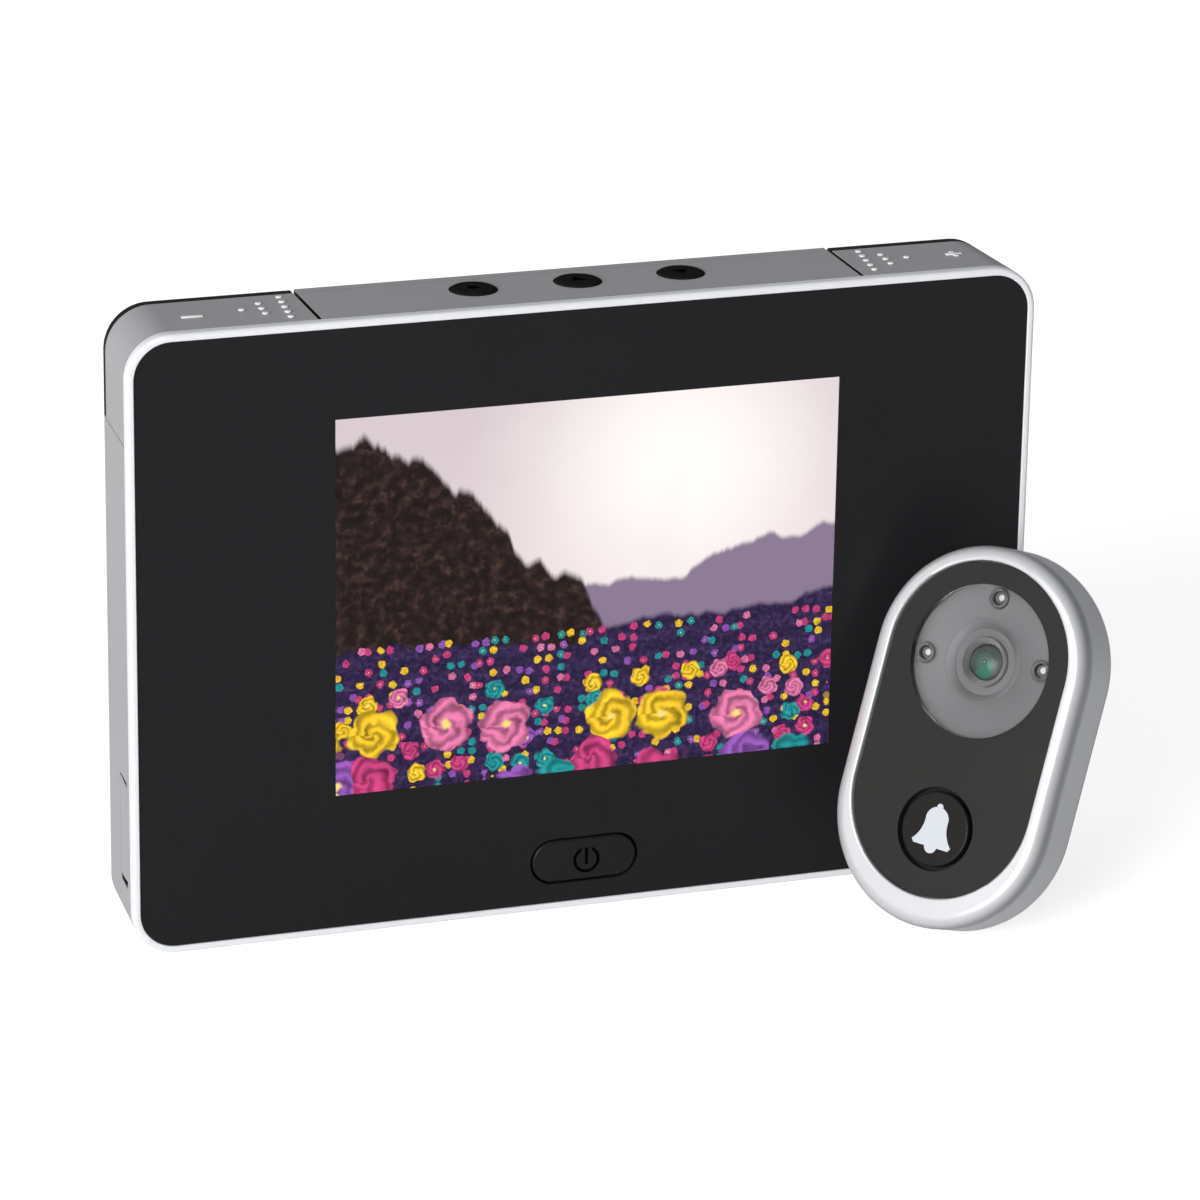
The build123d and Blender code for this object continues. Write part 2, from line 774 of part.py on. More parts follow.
with BuildPart() as camera_socket:
    with BuildSketch(at_depth(board_back)):
        with Locations(socket_place):
            Rectangle(socket_width, socket_height)
    extrude(amount=-socket_depth)
    with BuildSketch(at_depth(board_back + socket_depth)):
        with Locations(socket_place):
            Rectangle(socket_width - 2 * socket_wall, socket_height - 2 * socket_wall)
    extrude(amount=socket_opening_depth, mode=Mode.SUBTRACT)
finish(camera_socket.part, "camera_socket")

with BuildPart() as speaker:
    with BuildSketch(at_depth(cover_front)):
        with Locations(speaker_place):
            Circle(speaker_radius)
    extrude(amount=speaker_thickness - speaker_magnet_depth)
    with BuildSketch(at_depth(cover_front)):
        with Locations(speaker_place):
            Circle(speaker_magnet_radius)
    extrude(amount=speaker_thickness)
finish(speaker.part, "speaker")

with BuildPart() as case_screws:
    head_back = monitor_depth - case_hole_gap
    for side in sides.values():
        for boss_x, boss_z in (case_boss_low, case_boss_high):
            with BuildSketch(at_depth(head_back)):
                with Locations((side * boss_x, boss_z)):
                    Circle(case_screw_head)
            extrude(amount=case_screw_head_height)
            with BuildSketch(at_depth(head_back)):
                with Locations((side * boss_x, boss_z)):
                    Circle(case_screw_radius)
            extrude(amount=case_screw_length)
finish(case_screws.part, "case_screws")

# Card socket behind the port cover, the cover and its pin
with BuildPart() as card_socket:
    with BuildSketch(at_depth(main_board_front - card_socket_thickness)):
        with Locations((-board_reach, card_slot_middle)):
            Rectangle(card_socket_length, card_socket_width, align=(Align.MIN, Align.CENTER))
    extrude(amount=-card_socket_thickness)
    with BuildSketch(at_depth(card_depth - card_slot_thickness / 2)):
        with Locations((-board_reach, card_slot_middle)):
            Rectangle(card_slot_depth, card_slot_length, align=(Align.MIN, Align.CENTER))
    extrude(amount=-card_slot_thickness, mode=Mode.SUBTRACT)
finish(card_socket.part, "card_socket")

with BuildPart() as port_cover:
    with BuildSketch(at_depth(port_front)):
        with Locations((port_pivot_x, port_pivot_height)):
            Circle(port_round)
        with Locations((-port_face, port_pivot_height)):
            Rectangle(port_thickness, port_drop, align=(Align.MIN, Align.MAX))
        with Locations((port_pivot_x, port_pivot_height)):
            Circle(port_pin_radius + fit_gap, mode=Mode.SUBTRACT)
    extrude(amount=-port_width)
    add(outer_case, mode=Mode.INTERSECT)
finish(port_cover.part, "port_cover")

with BuildPart() as port_pin:
    with BuildSketch(at_depth(port_front - port_pin_grip)):
        with Locations((port_pivot_x, port_pivot_height)):
            Circle(port_pin_radius)
    extrude(amount=-(port_width + 2 * port_pin_grip))
finish(port_pin.part, "port_pin")

# Outdoor unit: its axes, and its place with the lowest edge on the floor and the back near the monitor
unit_right = Vector(1, 0, 0).rotate(Axis.Z, -unit_turn)
unit_normal = Vector(0, -1, 0).rotate(Axis.X, -unit_lean).rotate(Axis.Z, -unit_turn)
unit_right = unit_right.rotate(Axis((0, 0, 0), unit_normal), unit_roll)
unit_up = unit_normal.cross(unit_right)


def unit_reach(direction):
    # how far the rounded back of the case reaches from its middle along a direction
    across = (unit_right.dot(direction) ** 2 + unit_up.dot(direction) ** 2) ** 0.5
    return (
        unit_straight * abs(unit_up.dot(direction))
        + (unit_radius - unit_back_round) * across
        + (unit_depth - unit_back_round) * abs(unit_normal.dot(direction))
        + unit_back_round
    )


unit_origin = Vector(
    unit_x,
    -monitor_depth / 2 - stand_gap - unit_reach(Vector(0, 1, 0)),
    unit_reach(Vector(0, 0, -1)),
)
unit_plane = Plane(origin=unit_origin, x_dir=unit_right, z_dir=unit_normal)
print("outdoor unit at", unit_origin, "right", unit_right, "up", unit_up, "out", unit_normal)


def unit_at(depth):
    # plane at a depth behind the face of the unit's panel, facing outwards
    return unit_plane.offset(-depth)


def unit_outline(radius):
    return SlotCenterToCenter(2 * unit_straight, 2 * radius, rotation=90)


def panel_outline(radius):
    with Locations((0, unit_panel_shift)):
        return SlotCenterToCenter(2 * unit_panel_straight, 2 * radius, rotation=90)


unit_axis = Axis(unit_origin, unit_normal)
with BuildPart() as unit_case:
    with BuildSketch(unit_at(-unit_rim_rise)):
        unit_outline(unit_radius)
    extrude(amount=-(unit_rim_rise + unit_depth))
    fillet(unit_case.faces().sort_by(unit_axis)[-1].edges(), unit_rim_round)
    fillet(unit_case.faces().sort_by(unit_axis)[0].edges(), unit_back_round)

# Silver shell: open at the back, with a ledge under the panel and two screw bosses
unit_cavity_radius = unit_radius - unit_wall
ledge_back = unit_panel_thickness + unit_ledge_thickness
with BuildPart() as unit_shell:
    add(unit_case)
    split(bisect_by=unit_at(unit_split), keep=Keep.TOP)
    with BuildSketch(unit_at(-unit_rim_rise)):
        panel_outline(unit_panel_radius + running_gap)
    extrude(amount=-(unit_rim_rise + unit_panel_thickness), mode=Mode.SUBTRACT)
    fillet(unit_shell.faces().sort_by(unit_axis)[-1].inner_wires()[0].edges(), unit_inner_round)
    with BuildSketch(unit_at(unit_panel_thickness)):
        panel_outline(unit_panel_radius - unit_ledge)
    extrude(amount=-unit_ledge_thickness, mode=Mode.SUBTRACT)
    with BuildSketch(unit_at(ledge_back)):
        unit_outline(unit_cavity_radius)
    extrude(amount=-(unit_split - ledge_back), mode=Mode.SUBTRACT)
    with BuildSketch(unit_at(unit_panel_thickness)):
        for way in sides.values():
            with Locations((way * unit_boss_place[0], unit_boss_place[1])):
                Circle(unit_boss_radius)
    extrude(amount=-(unit_split - unit_panel_thickness))
    with BuildSketch(unit_at(unit_split)):
        for way in sides.values():
            with Locations((way * unit_boss_place[0], unit_boss_place[1])):
                Circle(unit_screw_radius)
    extrude(amount=unit_screw_length, mode=Mode.SUBTRACT)
finish(unit_shell.part, "unit_shell")

# Dark panel, with holes for the window and the bell button
with BuildPart() as unit_panel:
    with BuildSketch(unit_at(0)):
        panel_outline(unit_panel_radius)
        with Locations((0, window_place)):
            Circle(window_radius, mode=Mode.SUBTRACT)
        with Locations((0, bell_place)):
            Circle(bell_radius + bell_groove, mode=Mode.SUBTRACT)
    extrude(amount=-unit_panel_thickness)
finish(unit_panel.part, "unit_panel")

with BuildPart() as camera_window:
    with BuildSketch(unit_at(0)):
        with Locations((0, window_place)):
            Circle(window_radius - fit_gap)
    extrude(amount=-unit_panel_thickness)
finish(camera_window.part, "camera_window")

# Grey baffle behind the window, with holes for the lens and the three infrared lamps
lens_middle = Vector(0, window_place)
lamp_places = {
    "left_lamp": lens_middle + Vector(-lamp_circle, 0).rotate(Axis.Z, lamp_turn),
    "top_lamp": lens_middle + Vector(0, lamp_circle),
    "right_lamp": lens_middle + Vector(lamp_circle, 0).rotate(Axis.Z, lamp_turn),
}
baffle_front = unit_panel_thickness + fit_gap
with BuildPart() as window_baffle:
    with BuildSketch(unit_at(baffle_front)):
        with Locations((0, window_place)):
            Circle(baffle_radius)
            Circle(lens_holder_radius - baffle_gap, mode=Mode.SUBTRACT)
        with Locations(list(lamp_places.values())):
            Circle(lamp_radius + lamp_collar, mode=Mode.SUBTRACT)
    extrude(amount=-baffle_thickness)
finish(window_baffle.part, "window_baffle")

# Board, image sensor, lens holder, lens barrel and lens
unit_board_front = unit_board_back - unit_board_thickness
with BuildPart() as unit_board:
    with BuildSketch(unit_at(unit_board_front)):
        unit_outline(unit_board_radius)
        for way in sides.values():
            with Locations((way * unit_boss_place[0], unit_boss_place[1])):
                Circle(unit_boss_radius + running_gap, mode=Mode.SUBTRACT)
    extrude(amount=-unit_board_thickness)
finish(unit_board.part, "unit_board")

with BuildPart() as image_sensor:
    with BuildSketch(unit_at(unit_board_front - sensor_thickness)):
        with Locations((0, window_place)):
            Rectangle(sensor_size, sensor_size)
    extrude(amount=-sensor_thickness)
finish(image_sensor.part, "image_sensor")

with BuildPart() as lens_holder:
    with BuildSketch(unit_at(lens_holder_front)):
        with Locations((0, window_place)):
            Circle(lens_holder_radius)
            Circle(lens_barrel_radius + fit_gap, mode=Mode.SUBTRACT)
    extrude(amount=-(unit_board_front - lens_holder_front))
finish(lens_holder.part, "lens_holder")

lens_seat = lens_front + lens_recess + lens_dome + lens_thickness
barrel_back = unit_board_front - sensor_thickness - fit_gap
with BuildPart() as lens_barrel:
    with BuildSketch(unit_at(lens_front)):
        with Locations((0, window_place)):
            Circle(lens_barrel_radius)
            Circle(lens_radius + fit_gap, mode=Mode.SUBTRACT)
    extrude(amount=-(lens_seat - lens_front))
    with BuildSketch(unit_at(lens_seat)):
        with Locations((0, window_place)):
            Circle(lens_barrel_radius)
            Circle(lens_radius - lens_recess, mode=Mode.SUBTRACT)
    extrude(amount=-(barrel_back - lens_seat))
finish(lens_barrel.part, "lens_barrel")

# The lens is a plate with a domed front, turned about its own axis
lens_plane = Plane(
    origin=unit_at(lens_seat).from_local_coords(Vector(0, window_place, 0)),
    x_dir=unit_right,
    z_dir=unit_up * -1,
)
with BuildPart() as lens:
    with BuildSketch(lens_plane):
        with BuildLine():
            Line((0, 0), (lens_radius, 0))
            Line((lens_radius, 0), (lens_radius, lens_thickness))
            TangentArc((0, lens_thickness + lens_dome), (lens_radius, lens_thickness), tangent=(1, 0))
            Line((0, lens_thickness + lens_dome), (0, 0))
        make_face()
    revolve(axis=Axis(lens_plane.origin, unit_normal))
finish(lens.part, "lens")

for name, place in lamp_places.items():
    with BuildPart() as lamp:
        with BuildSketch(unit_at(lamp_front)):
            with Locations(place):
                Circle(lamp_radius)
        extrude(amount=-(unit_board_front - lamp_front))
        fillet(lamp.faces().sort_by(unit_axis)[-1].edges(), lamp_radius - fit_gap)
    finish(lamp.part, name)

# Bell button with its symbol, and the switch behind it. The symbol's points are shares of its height
crown_share = (0, 0.45)
shoulder_share = (0.26, 0.22)
waist_share = (0.31, -0.1)
lip_share = (0.45, -0.3)
foot_share = (0.4, -0.37)
clapper_share = (0.14, -0.37)
clapper_tip_share = (0, -0.5)
knob_radius_share = 0.07
bell_back = unit_panel_thickness + running_gap


def bell_at(depth):
    # plane square to the unit with its origin on the axis of the bell button
    middle = unit_at(depth).from_local_coords(Vector(0, bell_place, 0))
    return Plane(origin=middle, x_dir=unit_right, z_dir=unit_normal)


def on_symbol(share, way=1):
    return (way * share[0] * bell_symbol_height, share[1] * bell_symbol_height)


def symbol_sketch():
    with BuildSketch(bell_at(-bell_rise)) as symbol:
        with BuildLine():
            ThreePointArc(on_symbol(shoulder_share, -1), on_symbol(crown_share), on_symbol(shoulder_share))
            for way in sides.values():
                ThreePointArc(
                    on_symbol(shoulder_share, way), on_symbol(waist_share, way), on_symbol(lip_share, way)
                )
                Line(on_symbol(lip_share, way), on_symbol(foot_share, way))
                Line(on_symbol(foot_share, way), on_symbol(clapper_share, way))
            ThreePointArc(
                on_symbol(clapper_share), on_symbol(clapper_tip_share), on_symbol(clapper_share, -1)
            )
        make_face()
        with Locations(on_symbol(crown_share)):
            Circle(knob_radius_share * bell_symbol_height)
    return symbol.sketch


bell_face = symbol_sketch()
with BuildPart() as bell_symbol:
    extrude(bell_face, amount=-bell_symbol_depth)
finish(bell_symbol.part, "bell_symbol")

with BuildPart() as bell_button:
    with BuildSketch(bell_at(-bell_rise)):
        Circle(bell_radius)
    extrude(amount=-(bell_rise + bell_back))
    fillet(bell_button.faces().sort_by(unit_axis)[-1].edges(), bell_round)
    with BuildSketch(bell_at(bell_back)):
        Circle(bell_radius + bell_flange)
    extrude(amount=-bell_flange_thickness)
    extrude(bell_face, amount=-bell_symbol_depth, mode=Mode.SUBTRACT)
finish(bell_button.part, "bell_button")

bell_plunger = bell_back + bell_flange_thickness + bell_travel + plunger_gap
with BuildPart() as bell_switch:
    with BuildSketch(bell_at(bell_plunger)):
        Circle(plunger_radius)
    extrude(amount=-plunger_rise)
    with BuildSketch(bell_at(bell_plunger + plunger_rise)):
        Rectangle(switch_size, switch_size)
    extrude(amount=-(unit_board_front - bell_plunger - plunger_rise))
finish(bell_switch.part, "bell_switch")

# Back plate with its collar, pads under the board and screw posts
pocket_floor = unit_split + unit_back_pocket
boss_places = [(way * unit_boss_place[0], unit_boss_place[1]) for way in sides.values()]
with BuildPart() as unit_back:
    add(unit_case)
    split(bisect_by=unit_at(unit_split), keep=Keep.BOTTOM)
    with BuildSketch(unit_at(unit_split)):
        unit_outline(unit_pocket_radius)
    extrude(amount=-unit_back_pocket, mode=Mode.SUBTRACT)
    with BuildSketch(unit_at(pocket_floor)):
        with GridLocations(2 * pad_reach, 2 * pad_reach, 2, 2):
            Circle(pad_radius)
    extrude(amount=pocket_floor - unit_board_back)
    with BuildSketch(unit_at(pocket_floor)):
        with Locations(boss_places):
            Circle(unit_boss_radius)
    extrude(amount=unit_back_pocket)
    with BuildSketch(unit_at(unit_depth)):
        Circle(insert_collar_radius)
    extrude(amount=-insert_collar_length)
    with BuildSketch(unit_at(unit_depth - insert_sink)):
        Circle(insert_radius)
    extrude(amount=-(insert_sink + insert_collar_length), mode=Mode.SUBTRACT)
    with BuildSketch(unit_at(unit_split)):
        Circle(lead_hole_radius)
        with Locations(boss_places):
            Circle(unit_screw_radius + fit_gap)
    extrude(amount=-(unit_depth - unit_split), mode=Mode.SUBTRACT)
    with BuildSketch(unit_at(unit_depth)):
        with Locations(boss_places):
            Circle(unit_screw_head + running_gap)
    extrude(amount=unit_screw_head_height, mode=Mode.SUBTRACT)
finish(unit_back.part, "unit_back")

with BuildPart() as threaded_insert:
    with BuildSketch(unit_at(unit_depth - insert_sink)):
        Circle(insert_radius)
        Circle(insert_bore_radius, mode=Mode.SUBTRACT)
    extrude(amount=-(insert_sink + insert_collar_length))
finish(threaded_insert.part, "threaded_insert")

with BuildPart() as unit_seal:
    with BuildSketch(unit_at(unit_split - seal_thickness)):
        unit_outline(unit_cavity_radius - fit_gap)
        SlotCenterToCenter(
            2 * unit_straight,
            2 * (unit_cavity_radius - fit_gap - seal_width),
            rotation=90,
            mode=Mode.SUBTRACT,
        )
    extrude(amount=-seal_thickness)
finish(unit_seal.part, "unit_seal")

with BuildPart() as unit_screws:
    with BuildSketch(unit_at(unit_depth)):
        with Locations(boss_places):
            Circle(unit_screw_head)
    extrude(amount=unit_screw_head_height)
    with BuildSketch(unit_at(unit_depth - unit_screw_head_height)):
        with Locations(boss_places):
            Circle(unit_screw_radius)
    extrude(amount=unit_screw_length)
finish(unit_screws.part, "unit_screws")
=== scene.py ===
import bpy
import json
import math
from mathutils import Matrix, Vector


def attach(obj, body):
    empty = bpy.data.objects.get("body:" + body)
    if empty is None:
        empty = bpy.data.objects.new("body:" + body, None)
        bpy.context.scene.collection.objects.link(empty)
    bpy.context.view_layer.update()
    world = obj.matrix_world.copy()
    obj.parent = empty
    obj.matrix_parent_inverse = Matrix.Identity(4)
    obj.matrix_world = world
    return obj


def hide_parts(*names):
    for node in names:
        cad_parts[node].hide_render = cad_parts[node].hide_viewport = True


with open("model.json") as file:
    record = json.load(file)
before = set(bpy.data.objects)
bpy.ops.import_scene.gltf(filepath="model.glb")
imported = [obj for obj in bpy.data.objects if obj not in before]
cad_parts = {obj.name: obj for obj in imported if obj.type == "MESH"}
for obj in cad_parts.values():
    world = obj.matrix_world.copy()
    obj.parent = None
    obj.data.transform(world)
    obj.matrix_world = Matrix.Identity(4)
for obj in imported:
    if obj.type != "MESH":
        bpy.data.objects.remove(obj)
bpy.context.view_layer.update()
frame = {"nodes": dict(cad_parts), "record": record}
nodes = frame["nodes"]
scene = bpy.context.scene
mm = 0.001
print("CAD loaded,", len(nodes), "nodes")

# Camera, as the photograph was taken
cameraView = {
    "place": (-0.222785, -0.666577, 0.291847),
    "right": (0.94818912, -0.31733457, 0.01536748),
    "up": (0.09271906, 0.32265883, 0.94196308),
    "forward": (0.3038759, 0.89173429, -0.33536456),
    "lens": 165.54,
    "sensor": 36.0,
    "clip": (0.01, 20),
}
# Frame of the outdoor unit: middle of its panel, with its own right, up and outward directions
unitFrame = {
    "place": (0.04605, -0.0278862, 0.0271152),
    "right": (0.596322, -0.801793, -0.039094),
    "up": (0.309555, 0.184747, 0.932762),
    "out": (-0.740659, -0.568328, 0.358368),
    "depth": 9.6,
    "split": 7.6,  # depth of the joint between shell and back
}
# Monitor sizes that the pieces and the patterns share, in millimetres
monitor = {
    "front": -8.1,  # y of the front plane
    "top": 86.0,
    "halfWidth": 63.0,
    "corner": 6.0,  # radius of the case's corners
    "lean": 0.055,  # the sides lean in by this much for each millimetre of depth
    "seam": -6.5,  # y of the joint between bezel and housing
    "backSeam": 6.1,  # y of the joint between housing and rear cover
}


def axesMatrix(place, xAxis, yAxis, zAxis):
    matrix = Matrix((xAxis, yAxis, zAxis)).transposed().to_4x4()
    matrix.translation = Vector(place)
    return matrix


# Faces that pieces are set on, with z out of the face
unitRight, unitUp, unitOut = (Vector(unitFrame[key]) for key in ("right", "up", "out"))
unitMatrix = axesMatrix(unitFrame["place"], unitRight, unitUp, unitOut)
unitBackMatrix = axesMatrix(
    Vector(unitFrame["place"]) - unitFrame["depth"] * mm * unitOut, -unitRight, unitUp, -unitOut
)
frontMatrix = axesMatrix((0, monitor["front"] * mm, 0), (1, 0, 0), (0, 0, 1), (0, -1, 0))
backMatrix = axesMatrix((0, -monitor["front"] * mm, 0), (-1, 0, 0), (0, 0, 1), (0, 1, 0))
topMatrix = Matrix.Translation((0, monitor["front"] * mm, monitor["top"] * mm))


def newObject(name, data):
    thing = bpy.data.objects.new(name, data)
    scene.collection.objects.link(thing)
    return thing


camera = newObject("photoCamera", bpy.data.cameras.new("photoCamera"))
camera.data.sensor_width = cameraView["sensor"]
camera.data.lens = cameraView["lens"]
camera.data.clip_start, camera.data.clip_end = cameraView["clip"]
camera.matrix_world = axesMatrix(
    cameraView["place"], cameraView["right"], cameraView["up"], -Vector(cameraView["forward"])
)
scene.camera = camera
print("camera set")


# Shader tools
def addNode(tree, kind, inputs=None, **settings):
    node = tree.nodes.new(kind)
    for key, value in settings.items():
        setattr(node, key, value)
    for key, value in (inputs or {}).items():
        if isinstance(value, bpy.types.NodeSocket):
            feed(node, key, value)
        else:
            node.inputs[key].default_value = value
    return node


def feed(node, key, value):
    node.id_data.links.new(value, node.inputs[key])


def calc(tree, operation, first, second=0.0, third=0.0, clamp=False):
    return addNode(
        tree, "ShaderNodeMath", {0: first, 1: second, 2: third}, operation=operation, use_clamp=clamp
    ).outputs[0]


def mulAdd(tree, first, factor, extra):
    return calc(tree, "MULTIPLY_ADD", first, factor, extra)


def vectorCalc(tree, operation, first, second=(0, 0, 0), scale=1.0):
    # lengths, distances and dot products come out as a value
    kind = "Value" if operation in ("LENGTH", "DISTANCE", "DOT_PRODUCT") else "Vector"
    return addNode(
        tree, "ShaderNodeVectorMath", {0: first, 1: second, 3: scale}, operation=operation
    ).outputs[kind]


def mixColours(tree, factor, first, second):
    return addNode(tree, "ShaderNodeMix", {0: factor, 6: first, 7: second}, data_type="RGBA").outputs[2]


def smoothStep(tree, value, low, high):
    return addNode(
        tree, "ShaderNodeMapRange", {"Value": value, "From Min": low, "From Max": high},
        interpolation_type="SMOOTHSTEP",
    ).outputs[0]


def noise(tree, place, scale, detail, roughness=0.5):
    inputs = {"Vector": place, "Scale": scale, "Detail": detail, "Roughness": roughness}
    return addNode(tree, "ShaderNodeTexNoise", inputs).outputs


def centred(tree, value):
    # a noise swings about 0.5
    return calc(tree, "SUBTRACT", value, 0.5)


def colourRamp(tree, share, stops, kind="LINEAR"):
    node = addNode(tree, "ShaderNodeValToRGB", {0: share})
    ramp = node.color_ramp
    ramp.interpolation = kind
    ramp.elements.remove(ramp.elements[1])
    for place, colour in stops:
        stop = ramp.elements[0] if place == 0.0 else ramp.elements.new(place)
        stop.color = colour
    return node.outputs[0]


def objectPlace(tree):
    return addNode(tree, "ShaderNodeTexCoord").outputs["Object"]


def splitVector(tree, vector):
    return addNode(tree, "ShaderNodeSeparateXYZ", {0: vector}).outputs


def makeGroup(name, inputs, outputs, build):
    # build gives the outputs' values for the group's tree and its inputs
    group = bpy.data.node_groups.new(name, "ShaderNodeTree")
    for label, (kind, value) in inputs.items():
        socket = group.interface.new_socket(label, in_out="INPUT", socket_type="NodeSocket" + kind)
        socket.default_value = value
    for label, kind in outputs.items():
        group.interface.new_socket(label, in_out="OUTPUT", socket_type="NodeSocket" + kind)
    given, last = group.nodes.new("NodeGroupInput").outputs, group.nodes.new("NodeGroupOutput")
    for label, value in build(group, given).items():
        feed(last, label, value)
    return group


def useGroup(tree, group, inputs=None):
    return addNode(tree, "ShaderNodeGroup", inputs, node_tree=group).outputs


# Fine grain, slow changes of tone and changes of gloss, for every moulded or painted surface
grainSpread = {"slow": 45.0, "handled": 140.0}


def grainValues(tree, given):
    place = objectPlace(tree)
    fine = noise(tree, place, given["Grain Scale"], 3.0)[0]
    slow = noise(tree, place, grainSpread["slow"], 4.0)[0]
    handled = noise(tree, place, grainSpread["handled"], 6.0)[0]
    toneFine = calc(tree, "MULTIPLY", centred(tree, fine), given["Tone Change"])
    toneSlow = calc(tree, "MULTIPLY", centred(tree, slow), given["Tone Change"])
    tone = calc(tree, "ADD", calc(tree, "ADD", toneFine, toneSlow), 1.0)
    gloss = mulAdd(tree, centred(tree, handled), given["Roughness Change"], given["Roughness"])
    toned = vectorCalc(tree, "SCALE", given["Colour"], scale=tone)
    return {"Colour": toned, "Roughness": gloss, "Height": fine}


grainGroup = makeGroup(
    "surfaceGrain",
    {
        "Colour": ("Color", (0.5, 0.5, 0.5, 1)), "Roughness": ("Float", 0.4),
        "Grain Scale": ("Float", 6000.0), "Tone Change": ("Float", 0.05), "Roughness Change": ("Float", 0.08),
    },
    {"Colour": "Color", "Roughness": "Float", "Height": "Float"}, grainValues,
)

# Darker band on a plane given by its direction and its place along it: a thin dark line where two mouldings
# meet, and also the painted shade round the unit's shoulder
seamCore = 0.2  # share of a seam's width that has its full depth


def seamAndShadeColour(tree, given):
    along = vectorCalc(tree, "DOT_PRODUCT", objectPlace(tree), given["Direction"])
    away = calc(tree, "ABSOLUTE", calc(tree, "SUBTRACT", along, given["Place"]))
    near = smoothStep(tree, calc(tree, "DIVIDE", away, given["Width"]), 1.0, seamCore)
    kept = calc(tree, "SUBTRACT", 1.0, calc(tree, "MULTIPLY", near, given["Depth"]))
    return {"Colour": vectorCalc(tree, "SCALE", given["Colour"], scale=kept)}


seamAndShadeGroup = makeGroup(
    "seamAndShadeLine",
    {
        "Colour": ("Color", (0.5, 0.5, 0.5, 1)), "Direction": ("Vector", (0, 1, 0)), "Place": ("Float", 0.0),
        "Width": ("Float", 0.0002), "Depth": ("Float", 0.5),
    },
    {"Colour": "Color"}, seamAndShadeColour,
)


# How deep a point lies inside the outline of the monitor's case, in millimetres. Its sides lean in
def depthInCase(tree, given):
    corner, middle = monitor["corner"], monitor["top"] / 2
    spot = splitVector(tree, vectorCalc(tree, "SCALE", objectPlace(tree), scale=1 / mm))
    lean = calc(tree, "MULTIPLY", calc(tree, "SUBTRACT", spot[1], monitor["seam"]), monitor["lean"])
    sideX = calc(tree, "SUBTRACT", monitor["halfWidth"] - corner, lean)
    pastX = calc(tree, "SUBTRACT", calc(tree, "ABSOLUTE", spot[0]), sideX)
    fromMid = calc(tree, "ABSOLUTE", calc(tree, "SUBTRACT", spot[2], middle))
    pastZ = calc(tree, "SUBTRACT", fromMid, middle - corner)
    past = addNode(tree, "ShaderNodeCombineXYZ", {
        0: calc(tree, "MAXIMUM", pastX, 0.0), 1: calc(tree, "MAXIMUM", pastZ, 0.0),
    }).outputs[0]
    flatPart = calc(tree, "MINIMUM", calc(tree, "MAXIMUM", pastX, pastZ), 0.0)
    outward = calc(tree, "ADD", vectorCalc(tree, "LENGTH", past), flatPart)
    return {"Depth": calc(tree, "SUBTRACT", corner, outward)}


caseGroup = makeGroup("caseDepth", {}, {"Depth": "Float"}, depthInCase)


# Distance from an axis, in millimetres, for the patterns round the lens
def distanceOff(tree, given):
    fromMiddle = vectorCalc(tree, "SUBTRACT", objectPlace(tree), given["Middle"])
    square = vectorCalc(tree, "CROSS_PRODUCT", fromMiddle, given["Direction"])
    return {"Distance": calc(tree, "MULTIPLY", vectorCalc(tree, "LENGTH", square), 1 / mm)}


ringGroup = makeGroup(
    "axisDistance",
    {"Middle": ("Vector", (0, 0, 0)), "Direction": ("Vector", (0, 0, 1))}, {"Distance": "Float"}, distanceOff,
)


def newMaterial(name, look=None):
    material = bpy.data.materials.new(name)
    material.use_nodes = True
    tree = material.node_tree
    shader = tree.nodes["Principled BSDF"]
    for key, value in (look or {}).items():
        shader.inputs[key].default_value = value
    return material, tree, shader


def addGrain(tree, shader, base, roughness, grain):
    # changes of tone and of gloss. The caller links the toned colour
    surface = useGroup(tree, grainGroup, {
        "Colour": base, "Roughness": roughness, "Grain Scale": grain["scale"],
        "Tone Change": grain["tone"], "Roughness Change": grain["gloss"],
    })
    feed(shader, "Roughness", surface["Roughness"])
    return surface


def addFinish(tree, shader, base, roughness, grain):
    # a moulded or painted finish, with its grain as a fine bump
    surface = addGrain(tree, shader, base, roughness, grain)
    feed(shader, "Base Color", surface["Colour"])
    bump = addNode(tree, "ShaderNodeBump", {
        "Height": surface["Height"], "Strength": grain["bump"], "Distance": grain["height"] * mm,
    })
    feed(shader, "Normal", bump.outputs[0])


def caseDepth(tree):
    return useGroup(tree, caseGroup)["Depth"]


def grainedMaterial(name, colour, roughness, grain, look=None, seamsAndShade=(), inside=None):
    # the paint of the case ends just inside its gaps, where the dark colour of the inside begins; this dark
    # also stands in for the shade in the gaps and slots, as painted shade
    material, tree, shader = newMaterial(name, look)
    base = (*colour, 1)
    if inside:
        base = mixColours(tree, smoothStep(tree, caseDepth(tree), *paintEdge), base, (*inside, 1))
    # the bands are seam lines where mouldings meet, and painted shade
    for seam in seamsAndShade:
        base = useGroup(tree, seamAndShadeGroup, {"Colour": base, **seam})["Colour"]
    addFinish(tree, shader, base, roughness, grain)
    return material


def makeGrain(scale, tone, gloss, bump, height):
    return {"scale": scale, "tone": tone, "gloss": gloss, "bump": bump, "height": height}


paintGrain = makeGrain(9000.0, 0.05, 0.08, 0.15, 0.01)
smoothGrain = makeGrain(9000.0, 0.04, 0.05, 0.03, 0.01)
fasciaGrain = makeGrain(7000.0, 0.25, 0.06, 0.06, 0.01)
mouldGrain = makeGrain(4000.0, 0.2, 0.1, 0.5, 0.03)
rubberGrain = makeGrain(5000.0, 0.25, 0.12, 0.3, 0.02)


def seamAndShadePlane(direction, place, width, depth):
    # place and width in millimetres, depth as the share of the colour that is taken away
    return {"Direction": direction, "Place": place * mm, "Width": width * mm, "Depth": depth}


